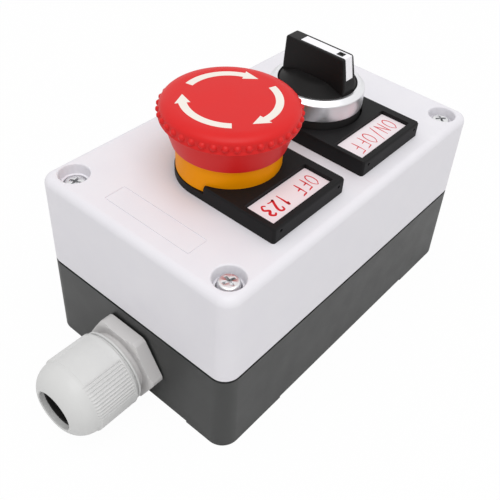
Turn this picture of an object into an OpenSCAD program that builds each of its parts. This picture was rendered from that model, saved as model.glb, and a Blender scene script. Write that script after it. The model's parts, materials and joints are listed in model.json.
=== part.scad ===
// Two-hole pushbutton control station: a twist-release emergency stop and a
// three-position selector in a moulded enclosure with a cable gland.
// Origin at the centre of the back face, +Z out of the cover, +X along the box
// away from the gland, legend labels towards -Y. All lengths are in millimetres.

/* [Enclosure] */
// Length of the box along X
body_l = 120; // [116:1:160]
// Width of the box along Y
body_w = 73; // [72:1:100]
// Height of the dark base
base_h = 30; // [29:0.5:40]
// Height of the pale cover
cover_h = 30.5; // [29:0.5:34]
// Side wall
wall = 3; // [2.5:0.1:3.5]
// Floor of the base
floor_t = 3; // [2.5:0.1:4]
// Roof of the cover
roof_t = 3; // [2.5:0.1:4]
// Radius of the upright corners
corner_r = 5; // [4:0.5:7]
// How far each side of the cover leans in by its top
cover_draft = 0.6; // [0.3:0.1:1]
// Radius of the cover's top edge
cover_edge_r = 2.6; // [1.5:0.1:3]
// Depth of the shadow gap at the seam
seam_in = 0.4; // [0.2:0.1:0.8]
// Height of the shadow gap
seam_h = 0.5; // [0.3:0.1:0.8]
// Length of each corner foot along X
foot_l = 25; // [18:1:30]
// Width of each corner foot along Y
foot_w = 14.5; // [10:0.5:20]
// Height of the relief between the corner feet
relief_h = 0.9; // [0.5:0.1:1.5]
// Depth of that relief into the back face
relief_in = 2.6; // [1.5:0.1:4]
// Length of the faint plate outline on the cover
plate_mark_l = 30.2; // [20:1:34]
// Width of that outline
plate_mark_w = 6.4; // [5:0.2:8]

/* [Fixings] */
// Cover screw to the end wall's outer face
screw_inset_x = 8; // [8:0.5:9]
// Cover screw to the side wall's outer face
screw_inset_y = 7.3; // [7.2:0.1:8]
// Bore of the screw recess
recess_d = 9; // [8.5:0.1:10]
// Depth of the screw recess
recess_depth = 3.2; // [3.2:0.2:8]
// Head of the cover screw
screw_head_d = 6; // [6:0.1:7.6]
// Height of that head
screw_head_h = 2.1; // [2:0.1:3]
// Shank of the cover screw
screw_d = 3.9; // [3:0.1:4]
// How far the shank reaches into the base
screw_grip = 16; // [10:1:20]
// Wall fixing holes, spacing along X
wall_hole_dx = 88; // [80:1:92]
// Wall fixing holes, spacing along Y
wall_hole_dy = 44; // [36:1:46]
// Bore of the wall fixing holes
wall_hole_d = 4.4; // [3:0.1:5]

/* [Operators] */
// Distance between the two operators
hole_pitch = 40; // [38:0.5:50]
// Shift of the pair along X
pair_shift = -0.3; // [-1:0.1:1]
// Hole in the cover for an operator
panel_hole_d = 22.3; // [22.2:0.1:22.6]
// Outside of an operator's barrel
barrel_d = 21.8; // [21.4:0.1:22]
// Bore of an operator's barrel
barrel_bore = 18; // [17.4:0.2:18.4]
// Barrel length below the cover's roof face
barrel_depth = 16.5; // [15.5:0.5:17]
// Across the ring nut
nut_d = 28; // [26:0.5:30]
// Thickness of the ring nut
nut_t = 5; // [3:0.5:5]
// Thickness of the sealing washer
seal_t = 1; // [0.8:0.1:1.5]

/* [Legend holders] */
// Width of a holder
holder_w = 31.4; // [31:0.1:34]
// Reach of a holder from its operator's axis
holder_reach = 29.6; // [28.6:0.1:31]
// Thickness of its plate
holder_t = 2.4; // [2:0.1:3]
// Height of its raised frame
frame_h = 4.9; // [4.4:0.1:5.4]
// Where the raised frame starts, from the axis
frame_start = 4.7; // [3:0.1:8]
// Length of the label
label_l = 25.6; // [22:0.1:26]
// Width of the label
label_w = 9.7; // [8:0.1:10]
// Thickness of the label
label_t = 0.6; // [0.4:0.1:0.8]
// Depth of the label below the frame's top
label_sunk = 1.2; // [0.8:0.1:1.4]

/* [Emergency stop] */
// Across the mushroom head
head_d = 40; // [38:0.5:42]
// Height of the head's top above the cover
head_rise = 23.5; // [23:0.1:25]
// Height of the knurled rim
rim_h = 2.4; // [2:0.1:3]
// Number of knurls on the rim
knurls = 40; // [30:1:42]
// Height of the rounded top above the rim
crown_h = 1.2; // [1:0.1:1.6]
// Across the skirt at its foot
skirt_d = 32.4; // [32:0.1:33]
// Height of the skirt's foot above the cover
skirt_rise = 11; // [10.8:0.1:11.8]
// Across the yellow collar
collar_d = 30.2; // [29.8:0.1:30.4]
// Travel of the mushroom head
press_travel = 5.5; // [4:0.1:5.5]
// Middle radius of the arrow band
arrow_r = 13; // [11:0.1:13.5]
// Width of an arrow's band
arrow_w = 2.2; // [1.6:0.1:2.6]

/* [Selector] */
// Across the chrome bezel
bezel_d = 29.6; // [29.4:0.1:30.4]
// Height of the bezel's top above the cover
bezel_rise = 13.8; // [13.4:0.1:14.6]
// Height of the bezel ring
bezel_h = 5.8; // [5:0.1:6]
// Across the black knob's disc
knob_d = 24.2; // [24:0.1:25]
// Height of the handle's top above the cover
handle_rise = 24.7; // [22:0.1:28]
// Length of the handle at its foot
handle_l = 23.4; // [20:0.1:23.6]
// Thickness of the handle at its foot
handle_t = 6.2; // [5.6:0.1:7]
// Turn of the knob to either side, in degrees
turn_side = 45; // [30:1:45]
// Stroke of a contact plunger for that turn
cam_stroke = 2; // [1.2:0.1:2]

/* [Contact blocks] */
// Width of a block
block_w = 10.4; // [10:0.1:10.6]
// Length of a block
block_l = 30; // [29:0.5:31]
// Height of a block
block_h = 22; // [22:0.1:23]
// Gap between the two blocks of an operator
block_gap = 0.8; // [0.4:0.1:1]
// Bore for a contact plunger
plunger_bore = 4.1; // [4:0.02:4.2]

/* [Cable gland] */
// Height of the gland's axis above the back face
gland_z = 13.5; // [13.5:0.1:14.5]
// Gland's axis from the box's middle
gland_y = 1; // [-3:0.5:3]
// Across the flats of the gland's hexagon
gland_hex_af = 24; // [22:0.5:24]
// Thickness of the hexagon
gland_hex_t = 4.2; // [3.5:0.1:5]
// Thread of the gland through the wall
gland_thread_d = 20; // [18:0.5:20]
// Across the dome nut
dome_d = 24.6; // [24:0.1:25]
// Length of the gland outside the wall
gland_l = 28.6; // [27:0.1:31]
// Mouth of the dome nut
mouth_d = 12.9; // [12:0.1:13.4]
// Bore of the seal, for the cable
cable_bore = 11; // [8:0.5:11]
// Ribs in each ribbed zone of the dome nut
rib_count = 10; // [6:1:12]

/* [Hidden] */
$fn = 64;

// One overrun serves every cut
cut = 1;
// Clearances: a running fit, a loose seat and the space round parts that move
run_gap = 0.05;
seat_gap = 0.1;
move_gap = 0.3;
// How far two volumes of one piece run into each other
lap = 0.5;

// Heights of the enclosure
top_z = base_h + cover_h;
roof_z = top_z - roof_t;
estop_x = pair_shift - hole_pitch / 2;
selector_x = pair_shift + hole_pitch / 2;
plate_z = top_z + holder_t;
frame_z = top_z + frame_h;
screw_places = [for (sx = [-1, 1], sy = [-1, 1])
    [sx * (body_l / 2 - screw_inset_x), sy * (body_w / 2 - screw_inset_y)]];
wall_hole_places = [for (sx = [-1, 1], sy = [-1, 1])
    [sx * wall_hole_dx / 2, sy * wall_hole_dy / 2]];
post_r = 6;
base_post_r = 5.2;
screw_clear = 0.15;
gasket_w = 1.4;
gasket_deep = 1.6;
line_w = 0.3;
line_deep = 0.15;
plate_mark_x = -50.1;

// Heights of an operator, from the cover down
seal_z = plate_z + seal_t;
nut_z = roof_z - nut_t;
barrel_r = barrel_d / 2;
bore_r = barrel_bore / 2;
barrel_z = top_z - barrel_depth;
collar_clamp_h = 6;
collar_skirt_h = 8;
block_z = barrel_z - collar_skirt_h;
fixing_w = 28;
fixing_bore_over = 0.5;
fixing_bore_r = bore_r + fixing_bore_over;
plunger_rise = 6.5;
tappet_z = block_z + plunger_rise;
plunger_r = plunger_bore / 2 - run_gap;
plunger_x = (block_w + block_gap) / 2;
seal_in_r = barrel_r + seat_gap;
seal_in = 0.5;

// A rectangle with round corners, drawn about the origin
module round_rect(l, w, r) {
    square([l - 2 * r, w], center = true);
    square([l, w - 2 * r], center = true);
    for (sx = [-1, 1], sy = [-1, 1]) translate([sx * (l / 2 - r), sy * (w / 2 - r)]) circle(r);
}

// Half the section of a moulded wall that leans in by lean over h and ends in a round edge
module lean_half(reach, h, lean, edge) {
    angle = atan(lean / h);
    centre = reach - (h - edge) * tan(angle) - edge / cos(angle);
    polygon([
        [0, 0], [reach, 0],
        [centre + edge * cos(angle), h - edge + edge * sin(angle)],
        [centre, h - edge], [centre, h], [0, h]]);
    intersection() {
        translate([centre, h - edge]) circle(edge);
        square([reach, h]);
    }
}

// A block with round upright corners, leaning sides and a round top edge
module moulded_block(l, w, h, r, lean, edge) {
    for (sx = [-1, 1], sy = [-1, 1]) translate([sx * (l / 2 - r), sy * (w / 2 - r), 0])
        rotate_extrude() lean_half(r, h, lean, edge);
    rotate([90, 0, 90]) linear_extrude(l - 2 * r, center = true)
        for (side = [0, 1]) mirror([side, 0]) lean_half(w / 2, h, lean, edge);
    rotate([90, 0, 0]) linear_extrude(w - 2 * r, center = true)
        for (side = [0, 1]) mirror([side, 0]) lean_half(l / 2, h, lean, edge);
}

// A ring: outer radius, bore radius and height
module ring(r, bore, h) {
    difference() {
        cylinder(r = r, h = h);
        translate([0, 0, -cut]) cylinder(r = bore, h = h + 2 * cut);
    }
}

// A hexagon by its width across flats, with flats towards +Y and -Y
module hexagon(af) {
    circle(r = af / sqrt(3), $fn = 6);
}

// Points of a spring's ring k: a small polygon square to the coil's path
spring_sides = 6;
curl_rings = 8;
function spring_ring(r, wire, z0, z1, turns, k) =
    let (part = k / (curl_rings * turns), a = 360 * turns * part,
         z = z0 + wire / 2 + (z1 - z0 - wire) * part)
    [for (j = [0 : spring_sides - 1]) let (b = 360 * j / spring_sides, d = r + wire / 2 * cos(b))
        [d * cos(a), d * sin(a), z + wire / 2 * sin(b)]];

// A compression spring as one unbroken tube from height z0 to z1
module coil_spring(r, wire, z0, z1, turns) {
    last = curl_rings * turns;
    points = [for (k = [0 : last]) each spring_ring(r, wire, z0, z1, turns, k)];
    sides = [for (k = [0 : last - 1], j = [0 : spring_sides - 1])
        let (a = k * spring_sides + j, b = k * spring_sides + (j + 1) % spring_sides)
        each [[a, a + spring_sides, b], [b, a + spring_sides, b + spring_sides]]];
    caps = [[for (j = [0 : spring_sides - 1]) j],
        [for (j = [spring_sides - 1 : -1 : 0]) last * spring_sides + j]];
    polyhedron(points = points, faces = concat(sides, caps));
}

/* Enclosure pieces */

module base_box() {
    inner_l = body_l - 2 * wall;
    inner_w = body_w - 2 * wall;
    color([0.29, 0.29, 0.29]) difference() {
        union() {
            difference() {
                union() {
                    linear_extrude(base_h - seam_h) round_rect(body_l, body_w, corner_r);
                    linear_extrude(base_h)
                        round_rect(body_l - 2 * seam_in, body_w - 2 * seam_in, corner_r - seam_in);
                }
                translate([0, 0, floor_t]) linear_extrude(base_h)
                    round_rect(inner_l, inner_w, corner_r - wall);
            }
            intersection() {
                for (place = screw_places) translate(place) cylinder(r = base_post_r, h = base_h);
                linear_extrude(base_h - seam_h) round_rect(body_l, body_w, corner_r);
            }
        }
        for (place = screw_places) translate([place[0], place[1], base_h - screw_grip - cut])
            cylinder(d = screw_d + 2 * screw_clear, h = screw_grip + 2 * cut);
        for (place = wall_hole_places) translate([place[0], place[1], -cut])
            cylinder(d = wall_hole_d, h = floor_t + 2 * cut);
        gasket_groove();
        back_reliefs();
        locknut_pocket();
        translate([-body_l / 2 - cut, gland_y, gland_z]) rotate([0, 90, 0])
            cylinder(d = gland_thread_d + 2 * seat_gap, h = wall + 2 * cut);
    }
}

module gasket_loop(grow) {
    mid_l = body_l - wall;
    mid_w = body_w - wall;
    band = gasket_w / 2 + grow;
    difference() {
        round_rect(mid_l + 2 * band, mid_w + 2 * band, corner_r - wall / 2 + band);
        round_rect(mid_l - 2 * band, mid_w - 2 * band, corner_r - wall / 2 - band);
    }
}

module gasket_groove() {
    translate([0, 0, base_h - gasket_deep]) linear_extrude(gasket_deep + cut) gasket_loop(0);
}

module back_reliefs() {
    span_x = body_l - 2 * foot_l;
    span_y = body_w - 2 * foot_w;
    for (s = [-1, 1]) {
        translate([-span_x / 2, s * body_w / 2 - relief_in, -cut])
            cube([span_x, 2 * relief_in, relief_h + cut]);
        translate([s * body_l / 2 - relief_in, -span_y / 2, -cut])
            cube([2 * relief_in, span_y, relief_h + cut]);
    }
}

// A shallow pocket in the floor, where the gland's locknut dips below it
module locknut_pocket() {
    low = gland_z - gland_nut_af / 2 - 2 * seat_gap;
    across = gland_nut_af / sqrt(3) + 2 * seat_gap;
    translate([-body_l / 2 + wall, gland_y - across, low]) cube([gland_nut_t + move_gap, 2 * across, floor_t]);
}

module cover() {
    inner_l = body_l - 2 * wall;
    inner_w = body_w - 2 * wall;
    color([0.93, 0.92, 0.93]) difference() {
        union() {
            difference() {
                translate([0, 0, base_h])
                    moulded_block(body_l, body_w, cover_h, corner_r, cover_draft, cover_edge_r);
                translate([0, 0, base_h - cut]) linear_extrude(cover_h - roof_t + cut)
                    round_rect(inner_l - cover_draft, inner_w - cover_draft, corner_r - wall);
            }
            for (place = screw_places) translate([place[0], place[1], base_h])
                cylinder(r = post_r, h = cover_h - cover_edge_r);
        }
        for (place = screw_places) translate(place) {
            translate([0, 0, base_h - cut])
                cylinder(d = screw_d + 2 * screw_clear, h = cover_h + 2 * cut);
            translate([0, 0, top_z - recess_depth]) cylinder(d = recess_d, h = recess_depth + cut);
        }
        for (x = [estop_x, selector_x]) translate([x, 0, roof_z - cut])
            cylinder(d = panel_hole_d, h = roof_t + 2 * cut);
        plate_outline();
    }
}

// The thin outline of a small plate, cut in the cover's top
module plate_outline() {
    translate([plate_mark_x, 0, top_z - line_deep]) linear_extrude(line_deep + cut) difference() {
        square([plate_mark_w, plate_mark_l], center = true);
        square([plate_mark_w - 2 * line_w, plate_mark_l - 2 * line_w], center = true);
    }
}

module cover_gasket() {
    color([0.12, 0.12, 0.12]) translate([0, 0, base_h - gasket_deep])
        linear_extrude(gasket_deep) gasket_loop(-run_gap);
}

// Cross slots in a screw head, named by their width and depth
slot_w = 1;
slot_deep = 1.5;
slot_l = 4.6;

module cover_screws() {
    head_z = top_z - recess_depth;
    color([0.8, 0.8, 0.8]) for (place = screw_places) translate([place[0], place[1], head_z])
        difference() {
            union() {
                pan_head(screw_head_d, screw_head_h);
                translate([0, 0, -(head_z - base_h) - screw_grip + cut])
                    cylinder(d = screw_d, h = head_z - base_h + screw_grip);
            }
            for (turn = [0, 90]) rotate(turn) translate([-slot_l / 2, -slot_w / 2, screw_head_h - slot_deep])
                cube([slot_l, slot_w, slot_deep + cut]);
        }
}

// A pan head: a low cylinder with a round upper edge
module pan_head(d, h) {
    edge = h / 2;
    rotate_extrude() {
        square([d / 2, h - edge]);
        square([d / 2 - edge, h]);
        translate([d / 2 - edge, h - edge]) intersection() {
            circle(edge);
            square(edge);
        }
    }
}

/* Cable gland pieces, drawn with their axis along +Z away from the wall */

gland_gasket_t = 0.8;
gland_gasket_in = 0.5;
hex_break = 0.35;
hex_slope_share = 0.25;
spigot_r = 9.6;
spigot_end = 17;
claw_end = 21.5;
claw_tip_r = 9;
claw_bore_r = 7.8;
claw_slit = 1.2;
claw_slit_deep = 4.8;
claws = 8;
dome_round = 7.2;
dome_reach = sqrt(pow(dome_round, 2) - pow(mouth_d / 2 - dome_d / 2 + dome_round, 2));
dome_start = gland_l - dome_reach;
nut_lip_r = 11.5;
nut_lip_h = 1;
gland_nut_start = 7.2;
gland_inside = 10.5;
gland_nut_af = 24;
gland_nut_t = 5;
gland_bore_r = 7;
seal_start = 9;
seal_end = 20;
seal_neck_end = 26.8;

module at_gland() {
    translate([-body_l / 2, gland_y, gland_z]) rotate([0, -90, 0]) children();
}

module gland_body() {
    color([0.78, 0.78, 0.78]) at_gland() difference() {
        union() {
            translate([0, 0, gland_gasket_t]) intersection() {
                rotate(90) linear_extrude(gland_hex_t) hexagon(gland_hex_af);
                chamfered_disc(gland_hex_af / sqrt(3) - hex_break, gland_hex_t);
            }
            translate([0, 0, -gland_inside])
                cylinder(d = gland_thread_d, h = gland_inside + gland_gasket_t + seat_gap);
            cylinder(r = spigot_r, h = spigot_end);
            translate([0, 0, spigot_end]) cylinder(r1 = spigot_r, r2 = claw_tip_r, h = claw_end - spigot_end);
        }
        translate([0, 0, -gland_inside - cut]) cylinder(r = gland_bore_r, h = gland_inside + seal_start + cut);
        translate([0, 0, seal_start]) cylinder(r = claw_bore_r, h = claw_end);
        for (k = [0 : claws / 2 - 1]) rotate(180 * k / (claws / 2))
            translate([-2 * spigot_r, -claw_slit / 2, spigot_end - claw_slit_deep])
                cube([4 * spigot_r, claw_slit, claw_end]);
    }
}

// A disc whose outer corner is broken by a cone on its upper face
module chamfered_disc(r, h) {
    slope = h * hex_slope_share;
    cylinder(r = r, h = h - slope);
    translate([0, 0, h - slope]) cylinder(r1 = r, r2 = r - 2 * slope, h = slope);
}

module gland_gasket() {
    color([0.1, 0.1, 0.1]) at_gland()
        ring(gland_hex_af / 2 - gland_gasket_in, gland_thread_d / 2 + run_gap, gland_gasket_t);
}

module gland_seal() {
    color([0.14, 0.14, 0.14]) at_gland() translate([0, 0, seal_start + run_gap]) difference() {
        union() {
            cylinder(r = claw_bore_r - run_gap, h = seal_end - seal_start);
            cylinder(r = mouth_d / 2 - seat_gap, h = seal_neck_end - seal_start);
        }
        translate([0, 0, -cut]) cylinder(d = cable_bore, h = seal_neck_end);
    }
}

module gland_locknut() {
    color([0.78, 0.78, 0.78]) at_gland() translate([0, 0, -wall - gland_nut_t]) difference() {
        linear_extrude(gland_nut_t) rotate(30) hexagon(gland_nut_af);
        translate([0, 0, -cut]) cylinder(d = gland_thread_d + 2 * run_gap, h = gland_nut_t + 2 * cut);
    }
}

// Outline of the dome nut's ribs: three ribbed zones with plain ones between them
rib_zone = 56;
plain_zone = 66;
rib_rise = 0.35;
rib_out = dome_d / 2 - run_gap;
rib_points = [for (zone = [0 : 2], k = [0 : 2 * rib_count])
    let (a = 60 + 120 * zone - rib_zone / 2 + rib_zone * k / (2 * rib_count), d = rib_out - (k % 2) * rib_rise)
    [d * cos(a), d * sin(a)]];

// Lengths of the dome nut from its own rim
nut_len = gland_l - gland_nut_start;
nut_straight = dome_start - gland_nut_start;
nut_mouth_slope = 1.5;

module dome_profile() {
    r = dome_d / 2;
    translate([0, nut_lip_h]) square([r, nut_straight - nut_lip_h]);
    translate([0, nut_straight]) intersection() {
        union() {
            translate([r - dome_round, 0]) circle(dome_round);
            square([r - dome_round, dome_round]);
        }
        square([r, dome_reach]);
    }
}

// The space inside the dome nut, for the body's spigot and claws
module dome_space() {
    in_r = spigot_r + seat_gap;
    tip_in_r = claw_tip_r + seat_gap;
    rotate_extrude() polygon([
        [0, -cut], [in_r, -cut], [in_r, spigot_end - gland_nut_start],
        [tip_in_r, claw_end + seat_gap - gland_nut_start],
        [mouth_d / 2, claw_end + nut_mouth_slope - gland_nut_start],
        [mouth_d / 2, nut_len + cut], [0, nut_len + cut]]);
}

module gland_dome_nut() {
    color([0.86, 0.86, 0.86]) at_gland() translate([0, 0, gland_nut_start]) difference() {
        union() {
            cylinder(r = nut_lip_r, h = nut_lip_h + lap);
            intersection() {
                rotate_extrude() dome_profile();
                union() {
                    linear_extrude(nut_len + cut) polygon(rib_points);
                    for (zone = [0 : 2]) rotate(120 * zone - plain_zone / 2)
                        rotate_extrude(angle = plain_zone) square([rib_out - rib_rise / 2, nut_len + cut]);
                    translate([0, 0, nut_straight]) cylinder(d = 2 * dome_d, h = nut_len);
                }
            }
        }
        dome_space();
    }
}

/* Legend holders and labels */

label_shift = -0.6;
label_y = -22.6;
pin_hole_d = 1;
pin_hole_x = 12.6;
pin_hole_up = 3.2;
holder_corner_r = 0.9;

module legend_holder(x) {
    front = holder_reach;
    color([0.13, 0.13, 0.13]) translate([x, 0, top_z]) difference() {
        union() {
            cylinder(d = holder_w, h = holder_t);
            holder_block(0, holder_t);
            holder_block(frame_start, frame_h);
        }
        translate([0, 0, -cut]) cylinder(d = panel_hole_d, h = frame_h + 2 * cut);
        translate([0, 0, holder_t]) cylinder(d = max(bezel_d, collar_d) + 2 * seat_gap, h = frame_h);
        translate([label_shift, label_y, frame_h - label_sunk - label_t])
            linear_extrude(label_sunk + label_t + cut)
                square([label_l + 2 * seat_gap, label_w + 2 * seat_gap], center = true);
        for (s = [-1, 1]) translate([s * pin_hole_x, -front - cut, pin_hole_up]) rotate([-90, 0, 0])
            cylinder(d = pin_hole_d, h = 2 * cut);
    }
}

// The straight part of a holder from y = -start to its front, with round front corners
module holder_block(start, h) {
    linear_extrude(h) {
        translate([-holder_w / 2, -holder_reach + holder_corner_r])
            square([holder_w, holder_reach - holder_corner_r - start]);
        translate([-holder_w / 2 + holder_corner_r, -holder_reach])
            square([holder_w - 2 * holder_corner_r, holder_corner_r * 2]);
        for (s = [-1, 1]) translate([s * (holder_w / 2 - holder_corner_r), -holder_reach + holder_corner_r])
            circle(holder_corner_r);
    }
}

module legend_label(x) {
    color([0.92, 0.87, 0.88]) translate([x + label_shift, label_y, frame_z - label_sunk - label_t])
        linear_extrude(label_t) square([label_l, label_w], center = true);
}

/* Emergency stop pieces */

head_r = head_d / 2;
head_top = top_z + head_rise;
rim_z = head_top - crown_h - rim_h;
skirt_z = top_z + skirt_rise;
skirt_top_r = 18.4;
skirt_bore_r = collar_d / 2 + move_gap;
head_roof = 2.4;
ceiling_z = head_top - head_roof;
boss_r = 7;
boss_l = 9;
boss_z = ceiling_z - boss_l;
spindle_r = 4;
spindle_short = 1;
spindle_top = ceiling_z - seat_gap - spindle_short;
collar_floor = 1.5;
collar_wall = 1.2;
collar_up = 3.4;
barrel_flange_r = 13.2;
barrel_flange_h = 2;
barrel_lip = 0.6;
estop_barrel_top = seal_z + collar_floor + barrel_flange_h + barrel_lip;
foot_r = 8.5;
pusher_z = tappet_z + move_gap;
pusher_h = 2.6;
pusher_neck_h = 3;
cup_wall = 1.4;
knurl_r = 0.95;
knurl_turn = 2.3;
knurl_rise = 0.74;
crown_r = 4.2;
arrow_deep = 0.4;
latch_up = 9;
latch_ledge_z = barrel_z + latch_up;
latch_ledge_h = 2;
latch_ledge_r = 6.2;
latch_cone_r = 5.5;
latch_cone_h = 2;
latch_land_h = 1;
latch_cone_gap = 1;
latch_side_gap = 0.4;
latch_wire = 1.2;
latch_leg_l = 5;

// The head's outer section: crown, rim, then the skirt that narrows to its foot
module head_section() {
    top = head_top - skirt_z;
    rim_low = rim_z - skirt_z;
    rim_high = rim_low + rim_h;
    in_r = head_r - knurl_rise;
    polygon([
        [0, 0], [skirt_d / 2, 0], [skirt_top_r, rim_low], [in_r, rim_low + crown_h / 2],
        [in_r, rim_high], [in_r - crown_r, top], [0, top]]);
    crown_arc(in_r, rim_high, top);
}

// The round shoulder between the flat top and the rim, as an arc through both
module crown_arc(reach, low, top) {
    rise = top - low;
    arc_r = (crown_r * crown_r + rise * rise) / (2 * rise);
    intersection() {
        translate([reach - crown_r, top - arc_r]) circle(arc_r, $fn = 180);
        translate([reach - crown_r, low]) square([crown_r, rise]);
    }
}

module knurl_ring() {
    for (k = [0 : knurls - 1]) rotate(knurl_turn + 360 * k / knurls) translate([head_r - knurl_r, 0])
        circle(knurl_r, $fn = 24);
}

module estop_head() {
    color([0.87, 0.2, 0.19]) translate([estop_x, 0, 0]) difference() {
        union() {
            difference() {
                union() {
                    translate([0, 0, skirt_z]) rotate_extrude() head_section();
                    intersection() {
                        translate([0, 0, rim_z]) linear_extrude(rim_h + crown_h) knurl_ring();
                        translate([0, 0, rim_z])
                            cylinder(r1 = head_r + crown_h, r2 = head_r - crown_h, h = rim_h + crown_h);
                    }
                }
                translate([0, 0, skirt_z - cut]) cylinder(r = skirt_bore_r, h = ceiling_z - skirt_z + cut);
            }
            translate([0, 0, boss_z]) cylinder(r = boss_r, h = boss_l + lap);
        }
        translate([0, 0, boss_z - cut])
            cylinder(r = spindle_r + run_gap, h = spindle_top + seat_gap - boss_z + cut);
        translate([0, 0, head_top - arrow_deep]) linear_extrude(arrow_deep + cut) arrows(0);
    }
}

// Three arrows that chase each other clockwise
arrow_first = 103;
arrow_sweep = 96;
arrow_tip_sweep = 19;
arrow_tip_w = 4.2;
module arrows(shrink) {
    for (k = [0 : 2]) rotate(arrow_first - 120 * k) arrow(shrink);
}

module arrow(shrink) {
    body_sweep = arrow_sweep - arrow_tip_sweep;
    half = arrow_w / 2 - shrink;
    tip_half = arrow_tip_w / 2 - shrink;
    slack = shrink / arrow_r * 180 / PI;
    steps = 12;
    outer = [for (k = [0 : steps]) let (a = -slack - (body_sweep - slack) * k / steps)
        (arrow_r + half) * [cos(a), sin(a)]];
    inner = [for (k = [steps : -1 : 0]) let (a = -slack - (body_sweep - slack) * k / steps)
        (arrow_r - half) * [cos(a), sin(a)]];
    tip = [
        (arrow_r + tip_half) * [cos(-body_sweep - slack), sin(-body_sweep - slack)],
        arrow_r * [cos(2 * slack - arrow_sweep), sin(2 * slack - arrow_sweep)],
        (arrow_r - tip_half) * [cos(-body_sweep - slack), sin(-body_sweep - slack)]];
    polygon(concat(outer, tip, inner));
}

module estop_arrows() {
    color([0.95, 0.94, 0.92]) translate([estop_x, 0, head_top - arrow_deep])
        linear_extrude(arrow_deep) arrows(run_gap);
}

// The turning spindle: it carries the head, and its cone snaps past the latch clip
module estop_spindle() {
    low = pusher_z + pusher_h + seat_gap;
    cone_z = latch_ledge_z + latch_ledge_h + latch_wire + latch_cone_gap;
    color([0.85, 0.84, 0.8]) translate([estop_x, 0, 0]) {
        translate([0, 0, low]) cylinder(r = spindle_r, h = spindle_top - low);
        translate([0, 0, cone_z]) cylinder(r1 = spindle_r, r2 = latch_cone_r, h = latch_cone_h);
        translate([0, 0, cone_z + latch_cone_h]) cylinder(r = latch_cone_r, h = latch_land_h);
    }
}

// The pusher slides in the barrel, and its foot presses both contact plungers
module estop_pusher() {
    cup_r = spindle_r + run_gap + cup_wall;
    color([0.2, 0.2, 0.2]) translate([estop_x, 0, pusher_z]) difference() {
        union() {
            cylinder(r = foot_r, h = pusher_h);
            cylinder(r = cup_r, h = pusher_h + pusher_neck_h);
        }
        translate([0, 0, pusher_h]) cylinder(r = spindle_r + run_gap, h = pusher_neck_h + cut);
    }
}

spring_wire = 1.2;
spring_in = 0.9;
spring_r = barrel_r - spring_in;
spring_gap = 0.05;
spring_turns = 4;
module estop_return_spring() {
    color([0.75, 0.75, 0.75]) translate([estop_x, 0, 0])
        coil_spring(spring_r, spring_wire, estop_barrel_top + spring_gap, ceiling_z - spring_gap, spring_turns);
}

module estop_collar() {
    height = skirt_z - seal_z + collar_up;
    color([0.88, 0.6, 0.06]) translate([estop_x, 0, seal_z]) difference() {
        cylinder(d = collar_d, h = height);
        translate([0, 0, -cut]) cylinder(r = barrel_r + seat_gap, h = height + 2 * cut);
        translate([0, 0, collar_floor]) cylinder(r = collar_d / 2 - collar_wall, h = height);
    }
}

module estop_barrel() {
    top = estop_barrel_top;
    color([0.16, 0.16, 0.16]) translate([estop_x, 0, 0]) difference() {
        union() {
            translate([0, 0, barrel_z]) cylinder(r = barrel_r, h = top - barrel_z);
            translate([0, 0, seal_z + collar_floor]) cylinder(r = barrel_flange_r, h = barrel_flange_h);
        }
        translate([0, 0, barrel_z - cut]) cylinder(r = latch_ledge_r, h = top - barrel_z + 2 * cut);
        translate([0, 0, barrel_z - cut]) cylinder(r = bore_r, h = latch_ledge_z - barrel_z + cut);
        translate([0, 0, latch_ledge_z + latch_ledge_h]) cylinder(r = bore_r, h = top);
    }
}

// A bent wire that straddles the spindle and springs in behind its cone
module estop_latch_clip() {
    leg_x = latch_cone_r + latch_side_gap + latch_wire / 2;
    color([0.75, 0.75, 0.75]) translate([estop_x, 0, latch_ledge_z + latch_ledge_h + latch_wire / 2]) {
        for (s = [-1, 1]) translate([s * leg_x, 0, 0]) rotate([90, 0, 0])
            cylinder(d = latch_wire, h = latch_leg_l);
        rotate_extrude(angle = 180) translate([leg_x, 0]) circle(d = latch_wire);
    }
}

module estop_seal() {
    operator_seal(estop_x, collar_d / 2 - seal_in);
}

module operator_seal(x, r) {
    color([0.12, 0.12, 0.12]) translate([x, 0, plate_z]) ring(r, seal_in_r, seal_t);
}

// A ring nut with grip notches
notch_r = 1.5;
notches = 8;
module operator_nut(x) {
    color([0.25, 0.25, 0.25]) translate([x, 0, nut_z]) difference() {
        ring(nut_d / 2, barrel_r + run_gap, nut_t);
        for (k = [0 : notches - 1]) rotate(360 * k / notches) translate([nut_d / 2, 0, -cut])
            cylinder(r = notch_r, h = nut_t + 2 * cut, $fn = 24);
    }
}

// The fixing collar grips the barrel's end and carries the contact blocks
module fixing_collar(x) {
    color([0.22, 0.22, 0.22]) translate([x, 0, block_z]) difference() {
        linear_extrude(collar_skirt_h + collar_clamp_h) round_rect(fixing_w, block_l, corner_r / 2);
        translate([0, 0, -cut]) cylinder(r = fixing_bore_r, h = collar_skirt_h + 2 * cut);
        translate([0, 0, collar_skirt_h]) cylinder(r = barrel_r + seat_gap, h = collar_clamp_h + cut);
    }
}

/* Selector pieces */

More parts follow.
